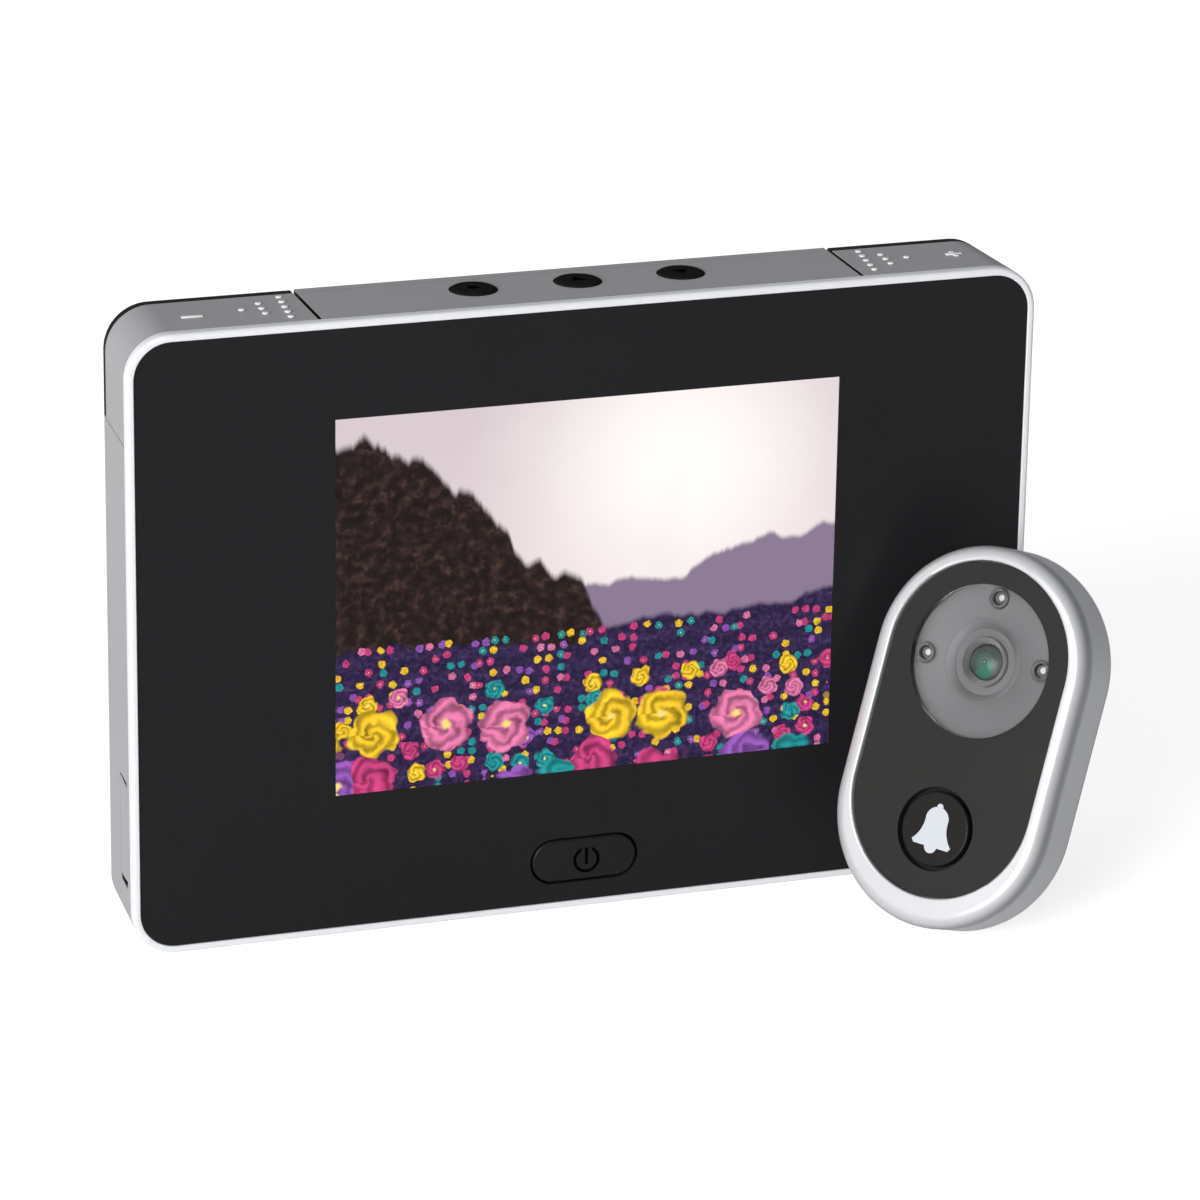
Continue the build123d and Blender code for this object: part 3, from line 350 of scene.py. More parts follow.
yAxis = (0, 1, 0)
unitOffset = Vector(unitFrame["place"]).dot(unitOut) / mm
bezelSeam = seamAndShadePlane(yAxis, monitor["seam"] + 0.05, 0.16, 0.55)
coverSeam = seamAndShadePlane(yAxis, monitor["backSeam"] - 0.05, 0.16, 0.25)
unitSeam = seamAndShadePlane(unitOut, unitOffset - unitFrame["split"], 0.12, 0.6)
unitShoulderShade = seamAndShadePlane(unitOut, unitOffset - 0.95, 1.7, 0.42)  # painted shade round the shoulder, darker than the paint
paintEdge = (0.08, 0.16)  # depth inside the case's outline over which its paint ends, in millimetres
caseGrey = (0.40, 0.40, 0.41)

# Finishes: name, colour, roughness, grain, further values of the shader, seam lines and painted shade, and
# colour inside the case, which is also painted shade in its gaps
finishes = {
    "silver_paint": ("silverLacquer", (0.86, 0.868, 0.885), 0.36, paintGrain, {"Metallic": 0.15}),
    "grey_paint": (
        "greyLacquer", caseGrey, 0.5, paintGrain, {"Metallic": 0.1, "Specular IOR Level": 0.12},
        # seam lines, then the dark inside of the case, which is also painted shade in its gaps and slots
        (bezelSeam, coverSeam), (0.012, 0.012, 0.013),
    ),
    "black_panel": ("blackFascia", (0.0128, 0.0125, 0.014), 0.32, fasciaGrain, {"Specular IOR Level": 0.15}),
    "backlight_white": ("whiteFrame", (0.8, 0.8, 0.78), 0.5, paintGrain),
    "black_plastic": ("blackMoulding", (0.02, 0.02, 0.022), 0.5, mouldGrain),
    "black_rubber": (
        "blackRubber", (0.0115, 0.0115, 0.0105), 0.75, rubberGrain, {"IOR": 1.15, "Specular IOR Level": 0.1},
    ),
    "signBlack": ("signBlack", (0.002, 0.002, 0.002), 0.8, smoothGrain, {"IOR": 1.05}),
    "markWhite": ("markWhite", (0.95, 0.95, 0.95), 0.3, smoothGrain),
    "board_green": ("boardGreen", (0.01, 0.12, 0.05), 0.35, fasciaGrain),
    "ribbon_film": ("amberFilm", (0.45, 0.18, 0.04), 0.3, paintGrain),
    "connector_ivory": ("ivoryPlastic", (0.75, 0.7, 0.58), 0.4, paintGrain),
    "bright_steel": ("platedSteel", (0.7, 0.7, 0.71), 0.28, paintGrain, {"Metallic": 1.0}),
    "cell_jacket": ("cellJacket", (0.02, 0.022, 0.026), 0.3, paintGrain),
    "cellBand": ("cellBand", (0.62, 0.30, 0.12), 0.3, paintGrain, {"Metallic": 0.8}),
    "insert_brass": ("turnedBrass", (0.72, 0.5, 0.2), 0.3, paintGrain, {"Metallic": 1.0}),
    "holderGrey": ("holderGrey", (0.13, 0.13, 0.132), 0.45, smoothGrain),
    "lampCup": ("lampCup", (0.14, 0.14, 0.142), 0.3, smoothGrain),
    # small white disc in each lamp, a painted glint
    "lampChip": ("lampChip", (0.75, 0.75, 0.75), 0.3, smoothGrain),
    "unitSilver": (
        # the unit's seam line, and painted shade round its shoulder
        "unitLacquer", (0.64, 0.645, 0.66), 0.32, paintGrain, {"Metallic": 0.35}, (unitSeam, unitShoulderShade),
    ),
    "unitBlack": ("unitFascia", (0.0215, 0.0205, 0.0192), 0.3, fasciaGrain, {"Specular IOR Level": 0.2}),
    "bellBlack": ("bellFascia", (0.0108, 0.0098, 0.009), 0.34, fasciaGrain, {"Specular IOR Level": 0.15}),
    "symbol_white": ("symbolWhite", (0.57, 0.595, 0.64), 0.35, smoothGrain, {"Specular IOR Level": 0.2}),
}
materials = {key: grainedMaterial(*finish) for key, finish in finishes.items()}

# Rear cover: black, and grey like the housing along its sides below the caps. Edges in millimetres
coverLook = {
    "black": (0.011, 0.011, 0.012, 1), "grey": (*caseGrey, 1), "roughness": 0.55,
    "side": (61.15, 61.2), "skin": (0.5, 0.4), "capFoot": (71.05, 71.0),
}


def makeCoverMaterial():
    material, tree, shader = newMaterial("coverBlack", {"IOR": 1.25, "Specular IOR Level": 0.3})
    spot = splitVector(tree, objectPlace(tree))
    side = smoothStep(tree, calc(tree, "ABSOLUTE", spot[0]), *(edge * mm for edge in coverLook["side"]))
    outside = calc(tree, "MULTIPLY", side, smoothStep(tree, caseDepth(tree), *coverLook["skin"]))
    below = smoothStep(tree, spot[2], *(edge * mm for edge in coverLook["capFoot"]))
    base = mixColours(tree, calc(tree, "MULTIPLY", outside, below), coverLook["black"], coverLook["grey"])
    addFinish(tree, shader, base, coverLook["roughness"], mouldGrain)
    return material


materials["coverBlack"] = makeCoverMaterial()

# Picture on the screen, a made-up meadow under hills. Places are shares of the picture's height
picture = {
    "left": -35.04, "low": 20.0, "height": 52.56,
    "skyHigh": (0.68, 0.58, 0.61, 1), "skyLow": (0.82, 0.70, 0.72, 1), "skyBand": (0.3, 1.0),
    "glow": (1.0, 0.95, 0.92, 1), "glowPlace": (0.92, 0.80, 0), "glowBand": (0.62, 0.05),
    "cloud": (0.86, 0.78, 0.80, 1), "cloudScale": 2.6, "cloudBand": (0.5, 0.75), "cloudShare": 0.35,
    "farHill": (0.26, 0.19, 0.29, 1),
    "wood": (0.016, 0.010, 0.010, 1), "woodLight": (0.11, 0.06, 0.05, 1),
    "leafScale": 34.0, "leafBand": (0.45, 0.75),
    "field": (0.018, 0.011, 0.042, 1), "fieldLight": (0.085, 0.05, 0.16, 1),
    "rowScale": 5.0, "rowBend": 3.0, "rowSheen": 0.05, "tuftScale": 70.0, "tuftBand": (0.45, 0.72),
}
# Lines of its hills, from the far ones to the meadow
ridges = {
    "far": {
        "base": 0.46, "rise": 0.12, "climb": (0.2, 1.3), "waves": 2.1, "seed": 3.7, "wobble": 0.3,
        "blur": 0.01,
    },
    "wood": {
        "base": 0.92, "rise": -0.66, "climb": (0.05, 1.0), "waves": 7.0, "seed": 9.1, "wobble": 0.2,
        "blur": 0.015,
    },
    "meadow": {
        "base": 0.36, "rise": 0.04, "climb": (0.2, 1.3), "waves": 2.6, "seed": 21.0, "wobble": 0.2,
        "blur": 0.01,
    },
}
# Its flowers, from the far bed to the near one. Bands and depths are shares of a flower
flowers = {
    "colours": (
        (0.0, (0.62, 0.06, 0.22, 1)), (0.3, (0.95, 0.60, 0.03, 1)), (0.52, (0.02, 0.32, 0.34, 1)),
        (0.68, (0.78, 0.20, 0.40, 1)), (0.84, (0.30, 0.10, 0.46, 1)),
    ),
    "eyeColour": (0.98, 0.74, 0.20, 1), "eyeBand": (0.22, 0.06), "eyeChance": (0.55, 0.6),
    "scatter": 0.75, "frillScale": 2.6, "foldScale": 3.2, "edgeBand": (1.0, 0.86),
    "lobes": 2.5, "turn": 6.0, "lobeDepth": 0.14, "lobeFoot": 0.84, "foldReach": 0.5,
    "layers": 13.0, "layerDepth": 0.3, "layerTone": 0.78, "foldDepth": 1.1,
    "topBlur": 0.01, "shareBlur": 0.02,
    "beds": (
        {"scale": 34.0, "shift": 7.0, "reach": 0.40, "top": 0.39, "share": 0.45, "ruffle": 0.006},
        {"scale": 15.0, "shift": 4.0, "reach": 0.44, "top": 0.29, "share": 0.45, "ruffle": 0.014},
        {"scale": 6.4, "shift": 1.5, "reach": 0.50, "top": 0.17, "share": 0.25, "ruffle": 0.032},
    ),
}


def ridgeMask(tree, across, high, ridge):
    # 1 below a wavy line that climbs or falls from left to right
    wave = addNode(
        tree, "ShaderNodeTexNoise",
        {"W": mulAdd(tree, across, ridge["waves"], ridge["seed"]), "Scale": 1.0, "Detail": 6.0},
        noise_dimensions="1D",
    ).outputs[0]
    line = mulAdd(tree, centred(tree, wave), ridge["wobble"], ridge["base"])
    line = mulAdd(tree, smoothStep(tree, across, *ridge["climb"]), ridge["rise"], line)
    return smoothStep(tree, calc(tree, "SUBTRACT", line, high), -ridge["blur"], ridge["blur"])


def addFlowerBed(tree, flat, bed, seen):
    # one ruffled flower in some of the cells of a Voronoi pattern, and a yellow eye in some flowers
    frill = noise(tree, flat, flowers["frillScale"] * bed["scale"], 3.0)[1]
    frill = vectorCalc(tree, "SUBTRACT", frill, (0.5, 0.5, 0.5))
    frill = vectorCalc(tree, "SCALE", frill, scale=bed["ruffle"])
    moved = vectorCalc(tree, "ADD", vectorCalc(tree, "ADD", flat, (bed["shift"],) * 3), frill)
    inputs = {"Vector": moved, "Scale": bed["scale"], "Randomness": flowers["scatter"]}
    grid = addNode(tree, "ShaderNodeTexVoronoi", inputs, voronoi_dimensions="2D").outputs
    chance = addNode(tree, "ShaderNodeSeparateColor", {0: grid["Color"]}).outputs
    side = splitVector(tree, vectorCalc(tree, "SUBTRACT", moved, grid["Position"]))
    fold = centred(tree, noise(tree, moved, flowers["foldScale"] * bed["scale"], 5.0)[0])

    # lobes round the edge, then how far out a point lies in them
    angle = calc(tree, "ARCTAN2", side[1], side[0])
    angle = mulAdd(tree, angle, flowers["lobes"], calc(tree, "MULTIPLY", chance[2], flowers["turn"]))
    lobes = calc(tree, "ABSOLUTE", calc(tree, "COSINE", angle))
    lobes = mulAdd(tree, lobes, flowers["lobeDepth"], flowers["lobeFoot"])
    lobes = mulAdd(tree, fold, flowers["foldReach"], lobes)
    away = calc(tree, "DIVIDE", grid["Distance"], calc(tree, "MULTIPLY", lobes, bed["reach"]))

    # layers of petals that wind round the middle
    turns = mulAdd(tree, fold, flowers["layers"], angle)
    turns = mulAdd(tree, away, flowers["layers"], turns)
    layers = mulAdd(tree, calc(tree, "COSINE", turns), flowers["layerDepth"], flowers["layerTone"])
    shade = mulAdd(tree, fold, flowers["foldDepth"], layers)
    petals = colourRamp(tree, chance[0], flowers["colours"], "CONSTANT")
    petals = vectorCalc(tree, "SCALE", petals, scale=shade)
    withEye = smoothStep(tree, chance[2], *flowers["eyeChance"])
    eye = calc(tree, "MULTIPLY", smoothStep(tree, away, *flowers["eyeBand"]), withEye)
    petals = mixColours(tree, eye, petals, flowers["eyeColour"])

    # a flower stands where its own middle is low enough
    middleHigh = calc(tree, "SUBTRACT", splitVector(tree, grid["Position"])[1], bed["shift"])
    low = smoothStep(tree, middleHigh, bed["top"], bed["top"] - flowers["topBlur"])
    picked = smoothStep(tree, chance[1], bed["share"], bed["share"] + flowers["shareBlur"])
    zone = calc(tree, "MULTIPLY", smoothStep(tree, away, *flowers["edgeBand"]), low)
    return mixColours(tree, calc(tree, "MULTIPLY", zone, picked), seen, petals)


def makeScreenPicture():
    look = {"Roughness": 0.3, "Base Color": (0.01, 0.01, 0.01, 1), "Emission Strength": 1.0}
    material, tree, shader = newMaterial("screenPicture", look)
    spot = splitVector(tree, objectPlace(tree))
    perHeight = 1 / (picture["height"] * mm)
    across = mulAdd(tree, spot[0], perHeight, -picture["left"] / picture["height"])
    high = mulAdd(tree, spot[2], perHeight, -picture["low"] / picture["height"])
    flat = addNode(tree, "ShaderNodeCombineXYZ", {0: across, 1: high}).outputs[0]

    glow = smoothStep(tree, vectorCalc(tree, "DISTANCE", flat, picture["glowPlace"]), *picture["glowBand"])
    clouds = smoothStep(tree, noise(tree, flat, picture["cloudScale"], 5.0)[0], *picture["cloudBand"])
    seen = mixColours(tree, smoothStep(tree, high, *picture["skyBand"]), picture["skyLow"], picture["skyHigh"])
    seen = mixColours(tree, glow, seen, picture["glow"])
    seen = mixColours(tree, calc(tree, "MULTIPLY", clouds, picture["cloudShare"]), seen, picture["cloud"])

    leaves = smoothStep(tree, noise(tree, flat, picture["leafScale"], 8.0, 0.75)[0], *picture["leafBand"])
    wood = mixColours(tree, leaves, picture["wood"], picture["woodLight"])
    rows = addNode(
        tree, "ShaderNodeTexWave",
        {"Vector": flat, "Scale": picture["rowScale"], "Distortion": picture["rowBend"], "Detail": 3.0},
        bands_direction="Y",
    ).outputs["Fac"]
    tufts = noise(tree, flat, picture["tuftScale"], 8.0, 0.8)[0]
    sheen = smoothStep(tree, mulAdd(tree, rows, picture["rowSheen"], tufts), *picture["tuftBand"])
    field = mixColours(tree, sheen, picture["field"], picture["fieldLight"])

    for ridge, cover in (("far", picture["farHill"]), ("wood", wood), ("meadow", field)):
        seen = mixColours(tree, ridgeMask(tree, across, high, ridges[ridge]), seen, cover)
    for bed in flowers["beds"]:
        seen = addFlowerBed(tree, flat, bed, seen)
    feed(shader, "Emission Color", seen)
    return material


# Clear mouldings: name, tint, roughness and index of refraction. Faint smudges change their gloss
glasses = {
    "screen_clear": ("clearWindow", (1, 1, 1), 0.0, 1.2),
    "window_smoke": ("smokedWindow", (0.88, 0.88, 0.89), 0.01, 1.05),
    "lamp_clear": ("clearDome", (0.97, 0.97, 0.97), 0.01, 1.15),
}
smudges = {"scale": 160.0, "gloss": 0.03}


def glassMaterial(name, tint, roughness, refraction):
    look = {"Base Color": (*tint, 1), "Transmission Weight": 1.0, "IOR": refraction}
    material, tree, shader = newMaterial(name, look)
    cloud = noise(tree, objectPlace(tree), smudges["scale"], 5.0)[0]
    feed(shader, "Roughness", mulAdd(tree, cloud, smudges["gloss"], roughness))
    return material


materials["lcd_glass"] = makeScreenPicture()
for key, glass in glasses.items():
    materials[key] = glassMaterial(*glass)

# Rings of the lens and of the baffle: distances from the lens's axis in millimetres, with their tones. The
# baffle's thin bright and dark rings at the edge of its dish are painted highlight and shade
lensLook = {
    "middle": 10.55, "reach": 10.0,
    "glassRings": (
        (0.0, (0.20, 0.26, 0.23)), (0.22, (0.05, 0.10, 0.08)), (0.32, (0.025, 0.06, 0.045)),
        (0.62, (0.10, 0.15, 0.13)), (0.70, (0.04, 0.085, 0.065)), (1.25, (0.06, 0.10, 0.085)),
        (1.35, (0.035, 0.06, 0.05)), (2.05, (0.07, 0.08, 0.075)), (2.5, (0.05, 0.05, 0.05)),
    ),
    "coat": {"Specular IOR Level": 0.2, "Coat Weight": 0.1, "Coat Roughness": 0.1},
    # painted green reflection on the lens
    "gleam": (0.03, 0.135, 0.085, 1), "gleamDrop": 0.9, "gleamBand": (1.6, 1.1), "gleamCut": (0.15, 0.45),
    # baffle tones, with a painted highlight and a painted shade line at the dish's edge
    "baffleTonesAndShade": (
        (0.0, (0.10, 0.10, 0.10)), (4.4, (0.112, 0.112, 0.114)), (5.35, (0.13, 0.13, 0.132)),
        (5.5, (0.15, 0.15, 0.154)), (5.6, (0.10, 0.10, 0.102)), (5.75, (0.126, 0.126, 0.127)),
        (9.3, (0.136, 0.136, 0.138)), (10.0, (0.124, 0.124, 0.126)),
    ),
    # painted light and shade in soft areas on the slope round the lens
    "slopeShadeDepth": 0.25, "slopeShadeTurns": 2.0, "slopeShadePlace": 0.6, "slopeBand": (5.6, 5.3),
}
lensMiddle = Vector(unitFrame["place"]) + lensLook["middle"] * mm * unitUp


def distanceFrom(tree, middle):
    return useGroup(tree, ringGroup, {"Middle": middle, "Direction": unitOut})["Distance"]


def alongAxis(tree, direction):
    # distance from the lens's middle along a direction, in millimetres
    along = vectorCalc(tree, "DOT_PRODUCT", objectPlace(tree), direction)
    return mulAdd(tree, along, 1 / mm, -lensMiddle.dot(direction) / mm)


def ringedMaterial(name, rings, roughness, look=None):
    # a tone for each distance from the lens's axis
    material, tree, shader = newMaterial(name, look)
    share = calc(tree, "DIVIDE", distanceFrom(tree, lensMiddle), lensLook["reach"], clamp=True)
    stops = [(distance / lensLook["reach"], (*colour, 1)) for distance, colour in rings]
    tones = colourRamp(tree, share, stops)
    return material, tree, shader, addGrain(tree, shader, tones, roughness, smoothGrain)["Colour"]


def makeLensMaterial():
    # coated glass: rings, and a painted green reflection below the middle that ends at a straight edge
    rings, coat = lensLook["glassRings"], lensLook["coat"]
    material, tree, shader, tones = ringedMaterial("coatedLens", rings, 0.25, coat)
    gleamMiddle = lensMiddle - lensLook["gleamDrop"] * unitUp * mm
    inside = smoothStep(tree, distanceFrom(tree, gleamMiddle), *lensLook["gleamBand"])
    below = smoothStep(tree, alongAxis(tree, (unitRight - unitUp).normalized()), *lensLook["gleamCut"])
    seen = mixColours(tree, calc(tree, "MULTIPLY", inside, below), tones, lensLook["gleam"])
    feed(shader, "Base Color", seen)
    return material


def makeBaffleMaterial():
    # matt grey, with painted light and shade in soft lighter and darker areas on the slope round the lens
    material, tree, shader, tones = ringedMaterial("baffleGrey", lensLook["baffleTonesAndShade"], 0.5)
    angle = calc(tree, "ARCTAN2", alongAxis(tree, unitUp), alongAxis(tree, unitRight))
    waves = calc(tree, "COSINE", mulAdd(tree, angle, lensLook["slopeShadeTurns"], lensLook["slopeShadePlace"]))
    onSlope = smoothStep(tree, distanceFrom(tree, lensMiddle), *lensLook["slopeBand"])
    scale = mulAdd(tree, calc(tree, "MULTIPLY", waves, onSlope), lensLook["slopeShadeDepth"], 1.0)
    feed(shader, "Base Color", vectorCalc(tree, "SCALE", tones, scale=scale))
    return material


materials["lens_glass"] = makeLensMaterial()
materials["baffle_grey"] = makeBaffleMaterial()
# Finishes that differ from the slot's usual one
ownFinish = {
    "unit_shell": "unitSilver", "unit_back": "unitSilver", "unit_panel": "unitBlack",
    "bell_button": "bellBlack", "lens_holder": "holderGrey", "rear_cover": "coverBlack",
}
for entry in frame["record"]["subparts"]:
    node = nodes[entry["node"]]
    node.data.materials.clear()
    node.data.materials.append(materials[ownFinish.get(entry["node"], entry["material_slot"])])
print("materials made")

# Modelling tools. All sizes and places handed to them are in millimetres, angles are in degrees
meshing = {"bevelAngle": 35.0, "smoothAngle": 30.0, "upward": 0.99, "near": 0.01}


def clearSelection():
    bpy.ops.object.select_all(action="DESELECT")


def selectOnly(piece):
    clearSelection()
    piece.select_set(True)
    bpy.context.view_layer.objects.active = piece


def addRound(name, operator, low, high, place, **sizes):
    clearSelection()
    operator(depth=(high - low) * mm, location=Vector((*place, (low + high) / 2)) * mm, **sizes)
    bpy.context.object.name = name
    return bpy.context.object


def addCylinder(name, radius, low, high, place=(0, 0), sides=64):
    operator = bpy.ops.mesh.primitive_cylinder_add
    return addRound(name, operator, low, high, place, vertices=sides, radius=radius * mm)


def addCone(name, radiusLow, radiusHigh, low, high, sides):
    sizes = {"vertices": sides, "radius1": radiusLow * mm, "radius2": radiusHigh * mm}
    return addRound(name, bpy.ops.mesh.primitive_cone_add, low, high, (0, 0), **sizes)


def addBlock(name, size, place):
    clearSelection()
    bpy.ops.mesh.primitive_cube_add(size=1, location=Vector(place) * mm)
    piece = bpy.context.object
    piece.name = name
    piece.scale = Vector(size) * mm
    bpy.ops.object.transform_apply(location=False, rotation=False, scale=True)
    return piece


def leaveEdit():
    bpy.ops.object.mode_set(mode="OBJECT")


def enterEdit(piece, kind, wanted):
    # edit mode, with only the wanted faces or points selected
    selectOnly(piece)
    bpy.ops.object.mode_set(mode="EDIT")
    bpy.ops.mesh.select_mode(type=kind)
    bpy.ops.mesh.select_all(action="DESELECT")
    leaveEdit()
    for element in piece.data.polygons if kind == "FACE" else piece.data.vertices:
        element.select = wanted(element)
    bpy.ops.object.mode_set(mode="EDIT")


def topFace(face):
    return face.normal.z > meshing["upward"]


def turnPiece(name, profile, sides=64):
    # a turned piece: its top face is drawn out and resized through the radii and heights of the profile
    (radius, low), (nextRadius, high) = profile[:2]
    piece = addCone(name, radius, nextRadius, low, high, sides)
    enterEdit(piece, "FACE", topFace)
    for (radius, low), (nextRadius, high) in zip(profile[1:], profile[2:]):
        bpy.ops.mesh.extrude_region_move(TRANSFORM_OT_translate={"value": (0, 0, (high - low) * mm)})
        share = nextRadius / radius
        bpy.ops.transform.resize(value=(share, share, 1), center_override=(0, 0, high * mm))
    leaveEdit()
    return piece


def stretchPiece(piece, length):
    # pulls the two halves of a round piece apart, which makes its outline an oblong with round ends
    for way in (-1, 1):
        enterEdit(piece, "VERT", lambda point: way * point.co.x > meshing["near"] * mm)
        bpy.ops.transform.translate(value=(way * length / 2 * mm, 0, 0))
        leaveEdit()


def applyModifier(piece, kind, **settings):
    selectOnly(piece)
    modifier = piece.modifiers.new(kind, kind)
    for key, value in settings.items():
        setattr(modifier, key, value)
    bpy.ops.object.modifier_apply(modifier=modifier.name)


def roundEdges(piece, width, segments=3):
    angle = math.radians(meshing["bevelAngle"])
    applyModifier(piece, "BEVEL", width=width * mm, segments=segments, limit_method="ANGLE", angle_limit=angle)


def cutWith(piece, *cutters):
    for cutter in cutters:
        applyModifier(piece, "BOOLEAN", operation="DIFFERENCE", object=cutter, solver="EXACT")
        bpy.data.objects.remove(cutter)


def joinPieces(name, pieces):
    selectOnly(pieces[0])
    for piece in pieces[1:]:
        piece.select_set(True)
    bpy.ops.object.join()
    pieces[0].name = name
    return pieces[0]


def copyPiece(piece, place=(0, 0)):
    # a copy with a mesh of its own, moved sideways to its place
    twin = piece.copy()
    twin.data = piece.data.copy()
    scene.collection.objects.link(twin)
    twin.matrix_world = Matrix.Translation(Vector((*place, 0)) * mm) @ piece.matrix_world
    return twin


def copyTo(name, piece, places):
    # one piece out of copies of the first, which is used up
    bpy.context.view_layer.update()
    copies = [copyPiece(piece, place) for place in places]
    bpy.data.objects.remove(piece)
    return joinPieces(name, copies)


def finishFaces(piece, finish, wanted=lambda face: True):
    # gives the wanted faces a finish of their own
    piece.data.materials.append(materials[finish])
    for face in piece.data.polygons:
        if wanted(face):
            face.material_index = len(piece.data.materials) - 1


def settle(piece, matrix, body, slotName, replaced=()):
    # place goes into the mesh, then the piece gets its finish and its body
    bpy.context.view_layer.update()
    piece.matrix_world = matrix @ piece.matrix_world
    selectOnly(piece)
    bpy.ops.object.transform_apply(location=True, rotation=True, scale=True)
    bpy.ops.object.shade_smooth_by_angle(angle=math.radians(meshing["smoothAngle"]))
    if not piece.data.materials:
        piece.data.materials.append(materials[slotName])
    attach(piece, body)
    if replaced:
        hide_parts(*replaced)


# Marks on the battery caps: rows of raised dots that point outwards, with a minus or a plus
capMarks = {
    "dotRadius": 0.45, "rise": 0.2, "round": 0.1,
    "barLength": 2.9, "barWidth": 0.7, "plusLength": 2.3,
    "left": {
        "lone": (-45.5, 8.2), "bar": (-52.45, 6.9),
        "rows": (((-42.9, 5.9), (0.12, 2.25), 3), ((-40.1, 3.6), (0.21, 2.25), 5)),
    },
    "right": {
        "lone": (47.35, 8.2), "bar": (54.1, 8.0),
        "rows": (((44.2, 6.0), (0.1, 2.15), 3), ((41.04, 3.87), (0.25, 2.17), 5)),
    },
}


def makeCapMarks(side):
    spec, rise = capMarks[side], capMarks["rise"]
    dots = [spec["lone"]]
    for (startX, startY), (stepX, stepY), count in spec["rows"]:
        dots += [(startX + stepX * i, startY + stepY * i) for i in range(count)]
    dot = addCylinder("dot", capMarks["dotRadius"], 0, rise, sides=20)
    roundEdges(dot, capMarks["round"])
    pieces = [copyTo("dots", dot, dots)]
    x, y = spec["bar"]
    long, short = capMarks["barLength"], capMarks["barWidth"]
    if side == "right":
        # the plus is one bar across and two short ones that meet it
        long = capMarks["plusLength"]
        for way in (-1, 1):
            arm = (short, (long - short) / 2, rise)
            pieces.append(addBlock("arm", arm, (x, y + way * (long + short) / 4, rise / 2)))
    pieces.append(addBlock("bar", (long, short, rise), (x, y, rise / 2)))
    for bar in pieces[1:]:
        roundEdges(bar, capMarks["round"], 2)
    marks = joinPieces(f"{side}CapMarks", pieces)
    finishFaces(marks, "markWhite")
    settle(marks, topMatrix, f"{side}_cap", "symbol_white")


for side in ("left", "right"):
    makeCapMarks(side)
print("cap marks made")

# Keys and power button: flange, body with a rounded top edge, and an engraved sign. Heights are above
# the top of the monitor for the keys, and in front of its front plane for the button
keys = {
    "radius": 3.15, "flangeRadius": 4.05, "flangeLow": -3.4, "flangeHigh": -2.6, "top": 0.3, "round": 0.5,
    "places": {"left": (-13.55, 9.4), "middle": (0.95, 9.4), "right": (15.45, 9.4)},
    "signRadius": 1.35, "dotRadius": 0.8, "signDepth": 0.2,
}
powerButton = {
    "radius": 2.95, "flangeRadius": 3.65, "flangeLow": -3.6, "flangeHigh": -2.8, "top": -0.1, "round": 0.3,
    "straight": 8.8, "height": 7.0,
    "signPlace": (0.3, -0.15), "ringRadius": 1.9, "lineWidth": 0.45, "openingWidth": 1.5,
    "barLow": -0.65, "barHigh": 1.75, "signDepth": 0.2,
}
signMargin = 0.02  # how far below the top a face belongs to the sign


def makeButtonBody(name, spec):
    button = turnPiece(name, [
        (spec["flangeRadius"], spec["flangeLow"]), (spec["flangeRadius"], spec["flangeHigh"]),
        (spec["radius"], spec["flangeHigh"]), (spec["radius"], spec["top"]),
    ], sides=96)
    level = (spec["top"] - meshing["near"]) * mm
    enterEdit(button, "FACE", lambda face: topFace(face) and face.center.z > level)
    bpy.ops.mesh.bevel(offset=spec["round"] * mm, segments=5, affect="EDGES")
    leaveEdit()
    return button


def darkenSign(piece, finish, spec):
    # the walls and the floor of an engraved sign are darker than the face round it
    low = (spec["top"] - spec["signDepth"] - signMargin) * mm - piece.location.z
    high = (spec["top"] - signMargin) * mm - piece.location.z
    finishFaces(piece, finish)
    finishFaces(piece, "signBlack", lambda face: low < face.center.z < high
                and math.hypot(face.center.x, face.center.y) < (spec["radius"] - spec["round"]) * mm)


def makeKey(name, place):
    key = makeButtonBody(f"{name}KeyCap", keys)
    low, high = keys["top"] - keys["signDepth"], keys["top"] + keys["signDepth"]
    if name == "left":
        sign = addCylinder("sign", keys["dotRadius"], low, high, sides=32)
    else:
        sign = addCylinder("sign", keys["signRadius"], low, high, sides=3)
        sign.rotation_euler.z = math.pi if name == "right" else 0.0
    cutWith(key, sign)
    darkenSign(key, "black_rubber", keys)
    key.location.x += place[0] * mm
    key.location.y += place[1] * mm
    settle(key, topMatrix, f"{name}_key", "black_rubber", [f"{name}_key"])


def makePowerButton():
    spec = powerButton
    button = makeButtonBody("powerButtonCap", spec)
    stretchPiece(button, spec["straight"])
    x, y = spec["signPlace"]
    low, high = spec["top"] - spec["signDepth"], spec["top"] + spec["signDepth"]
    radius, line = spec["ringRadius"], spec["lineWidth"]
    ring = addCylinder("ring", radius, low, high, (x, y))
    opening = addBlock("opening", (spec["openingWidth"], radius, radius), (x, y + radius, low))
    cutWith(ring, addCylinder("inside", radius - line, low - line, high + line, (x, y)), opening)
    barLength = spec["barHigh"] - spec["barLow"]
    barPlace = (x, y + spec["barLow"] + barLength / 2, spec["top"])
    cutWith(button, ring, addBlock("bar", (line, barLength, high - low), barPlace))
    darkenSign(button, "black_panel", spec)
    button.location.y += spec["height"] * mm
    settle(button, frontMatrix, "power_button", "black_panel", ["power_button"])


for name, place in keys["places"].items():
    makeKey(name, place)
makePowerButton()
print("keys and power button made")

